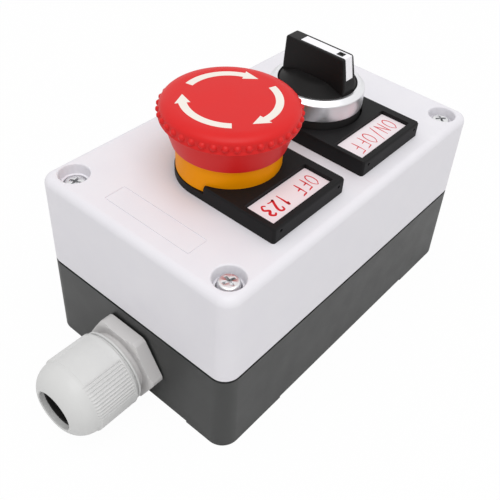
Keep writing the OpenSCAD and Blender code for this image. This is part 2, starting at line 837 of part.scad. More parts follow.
bezel_z = top_z + bezel_rise - bezel_h;
bezel_top = top_z + bezel_rise;
bezel_in_r = knob_d / 2 + move_gap;
bezel_bevel = 1.3;
bezel_break = 0.4;
selector_flange_r = 14.5;
knob_r = knob_d / 2;
knob_up = 1.2;
knob_z = bezel_z + knob_up;
knob_edge = 0.5;
knob_edge_h = 0.3;
knob_dome_r = 6;
dome_rise = 2;
dome_top = bezel_top + dome_rise;
handle_top = top_z + handle_rise;
handle_top_t = 4.9;
near_lean = 1.8;
far_lean = 0.1;
handle_bevel = 1.2;
insert_w = 3.3;
insert_t = 1;
insert_far = 6.7;
insert_rise = 18;
insert_low = top_z + insert_rise;
peg_w = 1.6;
peg_y = -7;
cam_r = 8.6;
cam_up = 3.4;
cam_z = tappet_z + cam_up;
cam_h = 6;
ramp_lap = 1.2;
key_in = 2;
spring_seat = 1;
cam_gap = 0.5;
ramp_in_r = 3.4;
ramp_out_r = 8;
ramp_half = 66;
ramp_steps = 12;
cam_surface = tappet_z + cam_gap;
ball_r = 1.4;
ball_out = 8.6;

module selector_bezel() {
    color([0.8, 0.8, 0.82]) translate([selector_x, 0, bezel_z]) difference() {
        rotate_extrude() polygon([
            [0, 0], [bezel_d / 2, 0], [bezel_d / 2, bezel_h - bezel_bevel],
            [bezel_d / 2 - bezel_bevel / 2, bezel_h - bezel_break],
            [bezel_d / 2 - bezel_bevel, bezel_h], [0, bezel_h]]);
        translate([0, 0, -cut]) cylinder(r = bezel_in_r, h = bezel_h + 2 * cut);
    }
}

module selector_barrel() {
    color([0.13, 0.13, 0.13]) translate([selector_x, 0, 0]) difference() {
        union() {
            translate([0, 0, barrel_z]) cylinder(r = barrel_r, h = bezel_z - barrel_z);
            translate([0, 0, seal_z]) cylinder(r = selector_flange_r, h = bezel_z - seal_z);
        }
        translate([0, 0, barrel_z - cut]) cylinder(r = bore_r, h = bezel_z - barrel_z + 2 * cut);
    }
}

// Half profiles of the handle: along its length and across its thickness
module handle_side() {
    low = knob_z;
    half = handle_l / 2;
    polygon([
        [-half, low], [half, low], [half, dome_top],
        [half - far_lean, handle_top - handle_bevel], [half - far_lean - handle_bevel, handle_top],
        [-half + near_lean, handle_top], [-half, dome_top]]);
}

module handle_across() {
    polygon([
        [-handle_t / 2, knob_z], [handle_t / 2, knob_z], [handle_t / 2, dome_top],
        [handle_top_t / 2, handle_top], [-handle_top_t / 2, handle_top], [-handle_t / 2, dome_top]]);
}

// Where the white insert lies: along the handle's top, then down its near end
module insert_path(gap, out) {
    half = handle_l / 2;
    lean = near_lean / (handle_top - dome_top);
    low_y = -half + (insert_low - dome_top) * lean;
    near_y = -half + near_lean;
    under = insert_t + gap;
    polygon([
        [insert_far + gap, handle_top + out], [insert_far + gap, handle_top - under],
        [near_y + under, handle_top - under], [low_y + under, insert_low - gap],
        [low_y - out, insert_low - gap], [near_y - out, handle_top + out]]);
}

module knob_handle() {
    intersection() {
        rotate([90, 0, 90]) linear_extrude(2 * handle_t, center = true) handle_side();
        rotate([90, 0, 0]) linear_extrude(2 * handle_l, center = true) handle_across();
    }
}

module selector_knob() {
    color([0.1, 0.1, 0.1]) translate([selector_x, 0, 0]) {
        difference() {
            union() {
                translate([0, 0, knob_z]) rotate_extrude() polygon([
                    [0, 0], [knob_r, 0], [knob_r, bezel_top - knob_z - knob_edge_h],
                    [knob_r - knob_edge, bezel_top - knob_z], [knob_dome_r, dome_top - knob_z],
                    [0, dome_top - knob_z]]);
                intersection() {
                    knob_handle();
                    translate([0, 0, knob_z]) cylinder(r = knob_r, h = handle_top);
                }
            }
            rotate([90, 0, 90]) linear_extrude(insert_w + 2 * run_gap, center = true)
                insert_path(run_gap, cut);
        }
        translate([-peg_w / 2, peg_y - peg_w / 2, handle_top - insert_t - run_gap - lap])
            cube([peg_w, peg_w, insert_t + run_gap + lap]);
        translate([0, 0, cam_z + cam_h - key_in])
            cylinder(r = spindle_r, h = knob_z - cam_z - cam_h + key_in + lap);
    }
}

module selector_insert() {
    color([0.94, 0.94, 0.95]) translate([selector_x, 0, 0]) difference() {
        rotate([90, 0, 90]) linear_extrude(insert_w, center = true) insert_path(0, 0);
        translate([-peg_w / 2 - run_gap, peg_y - peg_w / 2 - run_gap, handle_top - 2 * insert_t])
            cube([peg_w + 2 * run_gap, peg_w + 2 * run_gap, 3 * insert_t]);
    }
}

// One ring of a ramp's section at angle a: inner and outer edge, low and high
function ramp_ring(slope, mid, a, high) = let (low = cam_surface + slope * (a - mid)) [
    [ramp_in_r * cos(a), ramp_in_r * sin(a), low], [ramp_out_r * cos(a), ramp_out_r * sin(a), low],
    [ramp_out_r * cos(a), ramp_out_r * sin(a), high], [ramp_in_r * cos(a), ramp_in_r * sin(a), high]];

// A helical ramp whose lower face rises steadily with the angle
module cam_ramp(slope, mid) {
    high = cam_z + ramp_lap;
    points = [for (k = [0 : ramp_steps])
        each ramp_ring(slope, mid, mid - ramp_half + 2 * ramp_half * k / ramp_steps, high)];
    sides = [for (k = [0 : ramp_steps - 1], j = [0 : 3])
        let (a = 4 * k + j, b = 4 * k + (j + 1) % 4) each [[a, b, a + 4], [b, b + 4, a + 4]]];
    caps = [[3, 2, 1, 0], [for (j = [0 : 3]) 4 * ramp_steps + j]];
    polyhedron(points = points, faces = concat(sides, caps));
}

module selector_cam() {
    slope = cam_stroke / turn_side;
    color([0.9, 0.9, 0.88]) translate([selector_x, 0, 0]) {
        cam_ramp(slope, 0);
        cam_ramp(-slope, 180);
        difference() {
            translate([0, 0, cam_z]) cylinder(r = cam_r, h = cam_h);
            translate([0, 0, cam_z + cam_h - key_in - seat_gap]) cylinder(r = spindle_r + run_gap, h = cam_h);
            for (s = [0, 180]) rotate(s) translate([spindle_r + spring_seat, 0, cam_z + cam_h / 2]) rotate([0, 90, 0])
                cylinder(r = ball_r + seat_gap, h = cam_r);
        }
    }
}

module selector_detent_balls() {
    color([0.8, 0.8, 0.8]) translate([selector_x, 0, cam_z + cam_h / 2])
        for (s = [-1, 1]) translate([s * (ball_out - ball_r), 0, 0]) sphere(ball_r);
}

// The short springs behind the detent balls, drawn as plugs
module selector_detent_springs() {
    low = spindle_r + spring_seat + spring_gap;
    color([0.75, 0.75, 0.75]) translate([selector_x, 0, cam_z + cam_h / 2])
        for (s = [0, 180]) rotate([0, 90, s]) translate([0, 0, low])
            cylinder(r = ball_r, h = ball_out - 2 * ball_r - low);
}

module selector_seal() {
    operator_seal(selector_x, selector_flange_r);
}

/* Contact blocks, drawn with the top face of the housing at height zero */

block_end = 6;
chamber_w = 7.8;
chamber_top = 2;
chamber_low = 20.5;
block_floor = block_h - chamber_low;
bridge_w = 3.2;
bridge_t = 0.8;
bridge_half = 6.4;
bridge_top = 8.1;
tip_y = 5;
tip_r = 1.3;
tip_h = 0.5;
strip_w = 5;
strip_t = 0.8;
strip_in = 3.6;
riser_in = 0.4;
seat_low = 16.5;
term_y = 12;
term_screw_r = 1.6;
term_head_r = 2.9;
term_head_h = 2;
term_gap = 1.8;
term_bore_l = 4;
term_tip_l = 2;
cage_w = 5.2;
cage_l = 4.4;
cage_top = 5;
cage_low = 11;
block_spring_r = 1.7;
block_spring_wire = 0.5;
block_spring_turns = 5;
stem_tip_low = 13;

module at_block(x, side) {
    translate([x + side * plunger_x, 0, block_z]) children();
}

// A strip's path seen from the side: inner tip at tip_z, outer seat at -seat_low
module strip_path(tip_z, grow) {
    seat = -seat_low;
    riser = block_l / 2 - block_end + riser_in;
    high = max(tip_z, seat);
    translate([strip_in - grow, tip_z - grow])
        square([riser + strip_t - strip_in + 2 * grow, strip_t + 2 * grow]);
    translate([riser - grow, seat - grow]) square([strip_t + 2 * grow, high - seat + strip_t + 2 * grow]);
    translate([riser - grow, seat - grow])
        square([block_l / 2 - riser_in - riser + grow, strip_t + 2 * grow]);
}

module both_ends() {
    children();
    mirror([0, 1, 0]) children();
}

module contact_housing(tip_z) {
    color([0.82, 0.24, 0.2]) difference() {
        translate([-block_w / 2, -block_l / 2, -block_h]) cube([block_w, block_l, block_h]);
        translate([-chamber_w / 2, -(block_l / 2 - block_end), -chamber_low])
            cube([chamber_w, block_l - 2 * block_end, chamber_low - chamber_top]);
        translate([0, 0, -chamber_top - cut]) cylinder(d = plunger_bore, h = chamber_top + 2 * cut);
        both_ends() {
            rotate([90, 0, 90]) linear_extrude(strip_w + 2 * seat_gap, center = true)
                strip_path(tip_z, seat_gap);
            translate([0, term_y, -block_h - cut])
                cylinder(r = term_head_r + move_gap, h = block_h - seat_low + cut);
            translate([0, term_y, -seat_low]) cylinder(r = term_screw_r + seat_gap, h = term_bore_l);
            translate([-strip_w / 2, term_y, -seat_low - term_gap])
                cube([strip_w, block_end, term_gap + seat_gap]);
        }
    }
}

// The plunger: a domed stem, a cage for the bridge and a pin for the spring
module contact_plunger() {
    window_t = bridge_t + 2 * run_gap;
    color([0.9, 0.9, 0.88]) difference() {
        union() {
            translate([0, 0, -cage_top]) cylinder(r = plunger_r, h = cage_top + plunger_rise - plunger_r);
            translate([0, 0, plunger_rise - plunger_r]) sphere(plunger_r);
            translate([-cage_w / 2, -cage_l / 2, -cage_low]) cube([cage_w, cage_l, cage_low - cage_top]);
            translate([0, 0, -stem_tip_low])
                cylinder(r = block_spring_r - block_spring_wire - seat_gap, h = stem_tip_low - cage_low);
        }
        translate([-bridge_w / 2 - run_gap, -cage_l, -bridge_top - bridge_t - run_gap])
            cube([bridge_w + 2 * run_gap, 2 * cage_l, window_t]);
    }
}

// The moving bridge, with its contact tips above or below it
module contact_bridge(up) {
    color([0.8, 0.62, 0.3]) {
        translate([-bridge_w / 2, -bridge_half, -bridge_top - bridge_t])
            cube([bridge_w, 2 * bridge_half, bridge_t]);
        both_ends() translate([0, tip_y, up ? -bridge_top - run_gap : -bridge_top - bridge_t - tip_h])
            cylinder(r = tip_r, h = tip_h + run_gap);
    }
}

module contact_spring() {
    color([0.75, 0.75, 0.75])
        coil_spring(block_spring_r, block_spring_wire, -chamber_low + spring_gap,
            -cage_low - spring_gap, block_spring_turns);
}

module contact_terminals(tip_z, up) {
    color([0.8, 0.62, 0.3]) both_ends() difference() {
        union() {
            rotate([90, 0, 90]) linear_extrude(strip_w, center = true) strip_path(tip_z, 0);
            translate([0, tip_y, up ? tip_z - tip_h : tip_z + strip_t - run_gap])
                cylinder(r = tip_r, h = tip_h + run_gap);
        }
        translate([0, term_y, -seat_low - cut]) cylinder(r = term_screw_r + run_gap, h = strip_t + 2 * cut);
    }
}

module terminal_screws() {
    head_low = -seat_low - term_gap - term_head_h;
    color([0.8, 0.8, 0.8]) both_ends() translate([0, term_y, head_low]) difference() {
        union() {
            cylinder(r = term_head_r, h = term_head_h);
            cylinder(r = term_screw_r, h = term_head_h + term_gap + strip_t + term_tip_l);
        }
        translate([-slot_l, -slot_w / 2, -cut]) cube([2 * slot_l, slot_w, cut + term_head_h / 2]);
    }
}

// Height of a fixed strip: closed contacts lie above the bridge, open ones below its travel
closed_gap = 0.05;
function strip_above() = -bridge_top + 2 * tip_h + closed_gap;
function strip_below(travel) = -bridge_top - bridge_t - 2 * tip_h - travel - move_gap - strip_t;
nc_tip = strip_above();
no_tip = strip_below(press_travel);
sel_tip = strip_below(cam_stroke);

base_box();
cover();
cover_gasket();
cover_screws();
gland_body();
gland_gasket();
gland_seal();
gland_dome_nut();
gland_locknut();
legend_holder(estop_x);  // estop_legend_holder
legend_label(estop_x);  // estop_legend_label
legend_holder(selector_x);  // selector_legend_holder
legend_label(selector_x);  // selector_legend_label
estop_head();
estop_arrows();
estop_spindle();
estop_pusher();
estop_return_spring();
estop_collar();
estop_barrel();
estop_latch_clip();
estop_seal();
operator_nut(estop_x);  // estop_ring_nut
fixing_collar(estop_x);  // estop_fixing_collar
selector_knob();
selector_insert();
selector_bezel();
selector_barrel();
selector_cam();
selector_detent_balls();
selector_detent_springs();
selector_seal();
operator_nut(selector_x);  // selector_ring_nut
fixing_collar(selector_x);  // selector_fixing_collar
at_block(estop_x, -1) contact_housing(nc_tip);  // estop_nc_housing
at_block(estop_x, -1) contact_plunger();  // estop_nc_plunger
at_block(estop_x, -1) contact_bridge(true);  // estop_nc_bridge
at_block(estop_x, -1) contact_spring();  // estop_nc_spring
at_block(estop_x, -1) contact_terminals(nc_tip, true);  // estop_nc_terminals
at_block(estop_x, -1) terminal_screws();  // estop_nc_screws
at_block(estop_x, 1) contact_housing(no_tip);  // estop_no_housing
at_block(estop_x, 1) contact_plunger();  // estop_no_plunger
at_block(estop_x, 1) contact_bridge(false);  // estop_no_bridge
at_block(estop_x, 1) contact_spring();  // estop_no_spring
at_block(estop_x, 1) contact_terminals(no_tip, false);  // estop_no_terminals
at_block(estop_x, 1) terminal_screws();  // estop_no_screws
at_block(selector_x, -1) contact_housing(sel_tip);  // selector_left_housing
at_block(selector_x, -1) contact_plunger();  // selector_left_plunger
at_block(selector_x, -1) contact_bridge(false);  // selector_left_bridge
at_block(selector_x, -1) contact_spring();  // selector_left_spring
at_block(selector_x, -1) contact_terminals(sel_tip, false);  // selector_left_terminals
at_block(selector_x, -1) terminal_screws();  // selector_left_screws
at_block(selector_x, 1) contact_housing(sel_tip);  // selector_right_housing
at_block(selector_x, 1) contact_plunger();  // selector_right_plunger
at_block(selector_x, 1) contact_bridge(false);  // selector_right_bridge
at_block(selector_x, 1) contact_spring();  // selector_right_spring
at_block(selector_x, 1) contact_terminals(sel_tip, false);  // selector_right_terminals
at_block(selector_x, 1) terminal_screws();  // selector_right_screws
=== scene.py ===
"""Looks of a two-hole control station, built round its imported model. Lengths are in millimetres."""
import json
import math

import bmesh
import bpy
from mathutils import Matrix, Vector


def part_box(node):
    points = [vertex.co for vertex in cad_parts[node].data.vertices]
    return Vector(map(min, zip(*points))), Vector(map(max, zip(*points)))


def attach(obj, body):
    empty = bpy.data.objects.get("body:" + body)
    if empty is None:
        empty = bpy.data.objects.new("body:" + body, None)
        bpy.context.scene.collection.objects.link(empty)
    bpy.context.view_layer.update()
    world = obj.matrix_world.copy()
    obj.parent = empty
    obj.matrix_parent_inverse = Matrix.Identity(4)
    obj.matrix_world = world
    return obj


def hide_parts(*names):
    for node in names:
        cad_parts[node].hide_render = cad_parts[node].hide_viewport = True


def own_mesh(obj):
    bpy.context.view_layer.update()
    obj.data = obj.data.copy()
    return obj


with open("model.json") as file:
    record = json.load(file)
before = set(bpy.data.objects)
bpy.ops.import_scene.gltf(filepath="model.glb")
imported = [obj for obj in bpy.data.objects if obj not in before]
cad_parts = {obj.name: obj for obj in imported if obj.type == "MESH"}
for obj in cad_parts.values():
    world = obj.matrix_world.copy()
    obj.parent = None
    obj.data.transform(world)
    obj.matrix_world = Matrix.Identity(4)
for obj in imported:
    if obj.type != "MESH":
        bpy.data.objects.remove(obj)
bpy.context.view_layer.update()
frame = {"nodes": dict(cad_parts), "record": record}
MM = 0.001
SLOT = {row["node"]: row["material_slot"] for row in frame["record"]["subparts"]}
# How far a cutting form runs past what it cuts, and a joined one runs into its neighbour
OVER = 1
# Points nearer than WELD are one point, and a radius under TINY is on the axis
WELD, TINY = 0.002, 1e-6

# Places that the frame gives


def span(node):
    """A node's lowest and highest corners in millimetres."""
    low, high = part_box(node)
    return low / MM, high / MM


cover_low, cover_high = span("cover")
HALF_L, HALF_W = cover_high.x, cover_high.y
TOP, SEAM = cover_high.z, cover_low.z
head_low, head_high = span("estop_head")
ESTOP_X = (head_low.x + head_high.x) / 2
HEAD_LOW, HEAD_TOP = head_low.z, head_high.z
collar_low, collar_high = span("estop_collar")
bezel_low, bezel_high = span("selector_bezel")
SELECTOR_X = (bezel_low.x + bezel_high.x) / 2
nut_low, nut_high = span("gland_dome_nut")
GLAND_Y = (nut_low.y + nut_high.y) / 2
GLAND_Z = (nut_low.z + nut_high.z) / 2
SCREW_LOW = span("cover_screws")[0].z

# Mesh helpers


def make(name, points, faces):
    """A piece from points in millimetres and faces, with every face turned outward."""
    mesh = bpy.data.meshes.new(name)
    mesh.from_pydata([Vector(p) * MM for p in points], [], faces)
    mesh.validate()
    obj = bpy.data.objects.new(name, mesh)
    bpy.context.scene.collection.objects.link(obj)
    work = bmesh.new()
    work.from_mesh(mesh)
    bmesh.ops.recalc_face_normals(work, faces=work.faces)
    work.to_mesh(mesh)
    work.free()
    return obj


def settle(obj):
    """Applies an object's modifiers to its mesh."""
    graph = bpy.context.evaluated_depsgraph_get()
    graph.update()
    mesh = bpy.data.meshes.new_from_object(obj.evaluated_get(graph))
    old = obj.data
    obj.modifiers.clear()
    obj.data = mesh
    bpy.data.meshes.remove(old)
    return obj


def boolean(obj, other, operation="DIFFERENCE"):
    """Cuts obj by other, or joins them. The other form goes."""
    step = obj.modifiers.new("step", "BOOLEAN")
    step.object = other
    step.operation = operation
    step.solver = "EXACT"
    settle(obj)
    mesh = other.data
    bpy.data.objects.remove(other)
    bpy.data.meshes.remove(mesh)
    return obj


def bevel(obj, width, angle=50, segments=3):
    """Rounds the edges that are sharper than angle."""
    work = bmesh.new()
    work.from_mesh(obj.data)
    bmesh.ops.remove_doubles(work, verts=work.verts, dist=WELD * MM)
    bmesh.ops.dissolve_degenerate(work, edges=work.edges, dist=WELD * MM)
    work.to_mesh(obj.data)
    work.free()
    step = obj.modifiers.new("edges", "BEVEL")
    step.width = width * MM
    step.segments = segments
    step.limit_method = "ANGLE"
    step.angle_limit = math.radians(angle)
    step.use_clamp_overlap = True
    step.miter_outer = "MITER_ARC"
    return settle(obj)


def smooth(obj, angle=35):
    """Shades smoothly, with sharp edges where faces meet past angle."""
    obj.data.shade_smooth()
    obj.data.set_sharp_from_angle(angle=math.radians(angle))
    step = obj.modifiers.new("normals", "WEIGHTED_NORMAL")
    step.keep_sharp = True
    step.weight = 80
    return settle(obj)


def arc(centre, radius, start, end, count):
    """Points of an arc in the plane, by its angles in degrees."""
    turns = [math.radians(start + (end - start) * k / count) for k in range(count + 1)]
    return [(centre[0] + radius * math.cos(a), centre[1] + radius * math.sin(a)) for a in turns]


def rounded(corners, closed=False, step=12):
    """A polyline through (x, y, radius) corners, with each radius as an arc."""
    out = []
    last = len(corners) - 1
    for i, (x, y, radius) in enumerate(corners):
        if radius == 0 or (not closed and i in (0, last)):
            out.append((x, y))
            continue
        here = Vector((x, y))
        back = (Vector(corners[i - 1][:2]) - here).normalized()
        ahead = (Vector(corners[(i + 1) % len(corners)][:2]) - here).normalized()
        half = back.angle(ahead) / 2
        centre = here + (back + ahead).normalized() * radius / math.sin(half)
        start = here + back * radius / math.tan(half) - centre
        end = here + ahead * radius / math.tan(half) - centre
        first = math.degrees(math.atan2(start.y, start.x))
        sweep = (math.degrees(math.atan2(end.y, end.x)) - first + 180) % 360 - 180
        out += arc(centre, radius, first, first + sweep, max(2, math.ceil(abs(sweep) / step)))
    return out


def stack(name, rings):
    """A closed form through rings of equally many points."""
    count = len(rings[0])
    faces = [tuple(reversed(range(count)))]
    for k in range(len(rings) - 1):
        for j in range(count):
            a, b = k * count + j, k * count + (j + 1) % count
            faces.append((a, b, b + count, a + count))
    faces.append(tuple(range((len(rings) - 1) * count, len(rings) * count)))
    return make(name, [p for ring in rings for p in ring], faces)


def lathe(name, profile, centre=(0, 0), steps=144, shape=None, closed=False):
    """Turns a profile of (radius, height) about an upright axis. shape changes a radius."""
    points, faces, rows = [], [], []
    for r, z in profile:
        first = len(points)
        if r < TINY:
            points.append((*centre, z))
            rows.append([first])
            continue
        for k in range(steps):
            a = 2 * math.pi * k / steps
            d = shape(a, r, z) if shape else r
            points.append((centre[0] + d * math.cos(a), centre[1] + d * math.sin(a), z))
        rows.append(range(first, first + steps))
    pairs = list(zip(rows, rows[1:])) + ([(rows[-1], rows[0])] if closed else [])
    for low, high in pairs:
        for k in range(steps):
            n = (k + 1) % steps
            if len(low) == 1 and len(high) == 1:
                continue
            if len(low) == 1:
                faces.append((low[0], high[n], high[k]))
            elif len(high) == 1:
                faces.append((low[k], low[n], high[0]))
            else:
                faces.append((low[k], low[n], high[n], high[k]))
    return make(name, points, faces)


def outline(length, width, radius, z, centre=(0, 0), count=10):
    """A ring of points round a rectangle with round corners."""
    places = [(1, 1, 0), (-1, 1, 90), (-1, -1, 180), (1, -1, 270)]
    ring = []
    for sx, sy, start in places:
        corner = (centre[0] + sx * (length / 2 - radius), centre[1] + sy * (width / 2 - radius))
        ring += [(x, y, z) for x, y in arc(corner, radius, start, start + 90, count)]
    return ring


def prism(ring, low, high):
    """A flat outline pulled up from low to high."""
    return stack("form", [[(x, y, low) for x, y in ring], [(x, y, high) for x, y in ring]])


def drum(x, y, radius, low, high, steps=64):
    """An upright cylinder for cutting and joining."""
    return prism(arc((x, y), radius, 0, 360 * (1 - 1 / steps), steps - 1), low, high)


def block(low, high):
    """A plain block for cutting."""
    ring = [(low[0], low[1]), (high[0], low[1]), (high[0], high[1]), (low[0], high[1])]
    return prism(ring, low[2], high[2])


def turned(obj, matrix):
    """Moves a mesh's points by a matrix in millimetres."""
    scale = Matrix.Scale(1 / MM, 4)
    obj.data.transform(scale.inverted() @ matrix @ scale)
    obj.data.update()
    return obj


def dress(obj, name, body, node):
    """Names a piece, gives it its node's finish, and rides it on a body in that node's place."""
    obj.name = name
    obj.data.materials.clear()
    obj.data.materials.append(FINISH[SLOT[node]])
    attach(obj, body)
    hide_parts(node)
    return obj


# Materials

# The part of the noise that changes the gloss, and by how much either way
NOISE_LOW, NOISE_HIGH, GLOSS_SPREAD = 0.3, 0.7, 0.04


def srgb(colour):
    """A colour from 0 to 255, as the shader takes it."""
    parts = [c / 255 for c in colour]
    return (*(c / 12.92 if c <= 0.04045 else ((c + 0.055) / 1.055) ** 2.4 for c in parts), 1)


def finish(name, colour, second, rough=0.45, grain=0.4, bump=0.05, blotch=9.0, metal=0.0,
           specular=0.3):
    """A moulded or metal finish: mottled colour, uneven gloss and a fine grain, sizes in mm.

    bump is the relief's height as a share of the grain.
    """
    mat = bpy.data.materials.new(name)
    mat.use_nodes = True
    nodes, links = mat.node_tree.nodes, mat.node_tree.links
    shader = nodes["Principled BSDF"]
    place = nodes.new("ShaderNodeTexCoord")
    broad = nodes.new("ShaderNodeTexNoise")
    broad.inputs["Scale"].default_value = 1 / (blotch * MM)
    broad.inputs["Detail"].default_value = 3
    fine = nodes.new("ShaderNodeTexNoise")
    fine.inputs["Scale"].default_value = 1 / (grain * MM)
    fine.inputs["Detail"].default_value = 2
    for texture in (broad, fine):
        links.new(place.outputs["Object"], texture.inputs["Vector"])
    mix = nodes.new("ShaderNodeMix")
    mix.data_type = "RGBA"
    mix.inputs["A"].default_value = srgb(colour)
    mix.inputs["B"].default_value = srgb(second)
    links.new(broad.outputs["Fac"], mix.inputs["Factor"])
    links.new(mix.outputs["Result"], shader.inputs["Base Color"])
    gloss = nodes.new("ShaderNodeMapRange")
    gloss.inputs["From Min"].default_value = NOISE_LOW
    gloss.inputs["From Max"].default_value = NOISE_HIGH
    gloss.inputs["To Min"].default_value = rough - GLOSS_SPREAD
    gloss.inputs["To Max"].default_value = rough + GLOSS_SPREAD
    links.new(broad.outputs["Fac"], gloss.inputs["Value"])
    links.new(gloss.outputs["Result"], shader.inputs["Roughness"])
    relief = nodes.new("ShaderNodeBump")
    relief.inputs["Strength"].default_value = 1
    relief.inputs["Distance"].default_value = bump * grain * MM
    links.new(fine.outputs["Fac"], relief.inputs["Height"])
    links.new(relief.outputs["Normal"], shader.inputs["Normal"])
    shader.inputs["Metallic"].default_value = metal
    shader.inputs["Specular IOR Level"].default_value = specular
    return mat


# Each finish's two colours, then its roughness, grain and bump
FINISH = {
    "cover_plastic": finish("cover_plastic", (224, 222, 228), (230, 228, 232), 0.42, 0.5, 0.03),
    "base_plastic": finish("base_plastic", (42, 43, 43), (50, 51, 50), 0.42, 0.4, 0.06, specular=0.5),
    "head_red": finish("head_red", (207, 24, 24), (215, 31, 30), 0.42, 0.6, 0.02, specular=0.25),
    "collar_yellow": finish("collar_yellow", (242, 149, 1), (247, 156, 3), 0.4, 0.6, 0.02, specular=0.08),
    "arrow_white": finish("arrow_white", (230, 223, 214), (236, 230, 221), 0.5),
    "inner_black": finish("inner_black", (34, 33, 34), (42, 41, 41), 0.42, 0.35),
    "holder_plastic": finish("holder_plastic", (23, 23, 24), (30, 29, 30), 0.5, 0.3, 0.08, specular=0.12),
    "knob_black": finish("knob_black", (20, 19, 19), (26, 25, 25), 0.42, 0.4, specular=0.15),
    "insert_white": finish("insert_white", (238, 237, 241), (244, 243, 246), 0.4),
    "label_card": finish("label_card", (233, 222, 227), (239, 230, 233), 0.55, 0.25),
    "gland_nylon": finish("gland_nylon", (200, 198, 198), (207, 205, 204), 0.4, 0.5, 0.03),
    "gland_cap_nylon": finish("gland_cap_nylon", (206, 206, 205), (212, 212, 211), 0.36, 0.5, 0.02),
    "black_rubber": finish("black_rubber", (24, 24, 24), (32, 31, 30), 0.62, 0.3, 0.1, specular=0.2),
    "bezel_chrome": finish("bezel_chrome", (226, 226, 229), (234, 234, 236), 0.34, 0.2, 0.02, metal=1.0),
    "zinc_steel": finish("zinc_steel", (222, 223, 224), (234, 234, 235), 0.26, 0.2, metal=1.0),
    "spring_steel": finish("spring_steel", (176, 177, 180), (194, 195, 197), 0.3, 0.25, metal=1.0),
    "contact_brass": finish("contact_brass", (196, 158, 86), (212, 176, 104), 0.32, 0.25, metal=1.0),
    "contact_red": finish("contact_red", (188, 52, 44), (198, 60, 50)),
    "contact_green": finish("contact_green", (38, 128, 74), (46, 138, 82)),
    "natural_nylon": finish("natural_nylon", (226, 224, 214), (234, 232, 224), 0.42)}
PEN_INK = finish("pen_ink", (196, 12, 26), (218, 44, 52), 0.5, 0.2, blotch=1.2)

# Enclosure

WALL = 3
CORNER = 5
EDGE = 2.6
LEAN = 0.6
# How far the base widens from the seam to the wall
FLARE = 0.65
SEAM_IN, SEAM_H = 0.6, 0.65
# The lower edges, as insets and heights
COVER_FOOT = [(0.35, 0), (0.1, 0.08), (0, 0.35)]
BASE_FOOT = [(0.25, 0), (0.06, 0.08), (0, 0.25)]
COVER_BEVEL, BASE_BEVEL = 0.22, 0.2
POST_R, BASE_POST_R = 6, 5.2
SCREW_X, SCREW_Y = HALF_L - 8, HALF_W - 7.3
RECESS_R, RECESS_DEEP, RECESS_LEAN, RECESS_FILLET = 4.4, 3.2, 0.4, 0.3
# The recess's round mouth: its radius, and its arc's first and last angle and steps
MOUTH_EDGE, MOUTH_ARC = 0.5, (170, 96, 8)
SINK_R, SINK_DEEP = 3.45, 1.9
SHANK_R, SHANK_IN = 2.15, 17
PANEL_R = 11.15
CORNERS = [(sx, sy) for sx in (-1, 1) for sy in (-1, 1)]
SCREW_PLACES = [(sx * SCREW_X, sy * SCREW_Y) for sx, sy in CORNERS]
PLATE_X, PLATE_Y, PLATE_W, PLATE_L = -49.7, -0.7, 7.2, 31.6
PLATE_R, PLATE_IN_R = 0.6, 0.4
LINE_W, LINE_DEEP = 0.3, 0.14


def boxed(inset, z):
    """A ring round the enclosure, drawn in by inset."""
    return outline(2 * (HALF_L - inset), 2 * (HALF_W - inset), CORNER - inset, z)


def flared(inset, z):
    """A ring round the base, whose sides widen towards the wall."""
    return boxed(inset - FLARE * (1 - z / SEAM), z)


def enclosure_cover():
    """The pale cover: leaning sides, round top edge, screw recesses and two panel holes."""
    angle = math.atan(LEAN / (TOP - SEAM))
    centre = (TOP - SEAM - EDGE) * math.tan(angle) + EDGE / math.cos(angle)
    rings = [boxed(inset, SEAM + up) for inset, up in COVER_FOOT]
    for x, z in arc((0, 0), EDGE, math.degrees(angle), 90, 10):
        rings.append(boxed(centre - x, TOP - EDGE + z))
    obj = stack("cover", rings)
    inner = [boxed(WALL, SEAM - OVER), boxed(WALL, SEAM), boxed(WALL + LEAN / 2, TOP - WALL)]
    boolean(obj, stack("inner", inner))
    for x, y in SCREW_PLACES:
        boolean(obj, drum(x, y, POST_R, SEAM, TOP - EDGE), "UNION")
    for x, y in SCREW_PLACES:
        boolean(obj, drum(x, y, SHANK_R, SEAM - OVER, TOP - RECESS_DEEP))
    for x in (ESTOP_X, SELECTOR_X):
        boolean(obj, drum(x, 0, PANEL_R, TOP - WALL - OVER, TOP + OVER))
    bevel(obj, COVER_BEVEL)
    boolean(obj, plate_groove())
    for place in SCREW_PLACES:
        boolean(obj, recess_form(place))
    return dress(smooth(obj), "enclosure_cover", "root", "cover")


def recess_form(place):
    """A screw recess to cut: a round mouth, a leaning wall, a floor and a sink for the head."""
    floor, mouth = TOP - RECESS_DEEP, RECESS_R + MOUTH_EDGE
    profile = rounded([(0, floor - SINK_DEEP, 0), (SINK_R, floor - SINK_DEEP, 0), (SINK_R, floor, 0),
                       (RECESS_R - RECESS_LEAN, floor, RECESS_FILLET), (RECESS_R, TOP - MOUTH_EDGE, 0)])
    profile += arc((mouth, TOP - MOUTH_EDGE), MOUTH_EDGE, *MOUTH_ARC)
    profile += [(profile[-1][0], TOP + OVER), (0, TOP + OVER)]
    return lathe("recess", profile, place, steps=96)


def plate_groove():
    """The thin outline of a small plate, to be cut in the cover's top."""
    centre = (PLATE_X, PLATE_Y)
    outer = [outline(PLATE_W, PLATE_L, PLATE_R, z, centre, 4) for z in (TOP - LINE_DEEP, TOP + OVER)]
    inner = [outline(PLATE_W - 2 * LINE_W, PLATE_L - 2 * LINE_W, PLATE_IN_R, z, centre, 4)
             for z in (TOP - OVER, TOP + 2 * OVER)]
    return boolean(stack("groove", outer), stack("inner", inner))


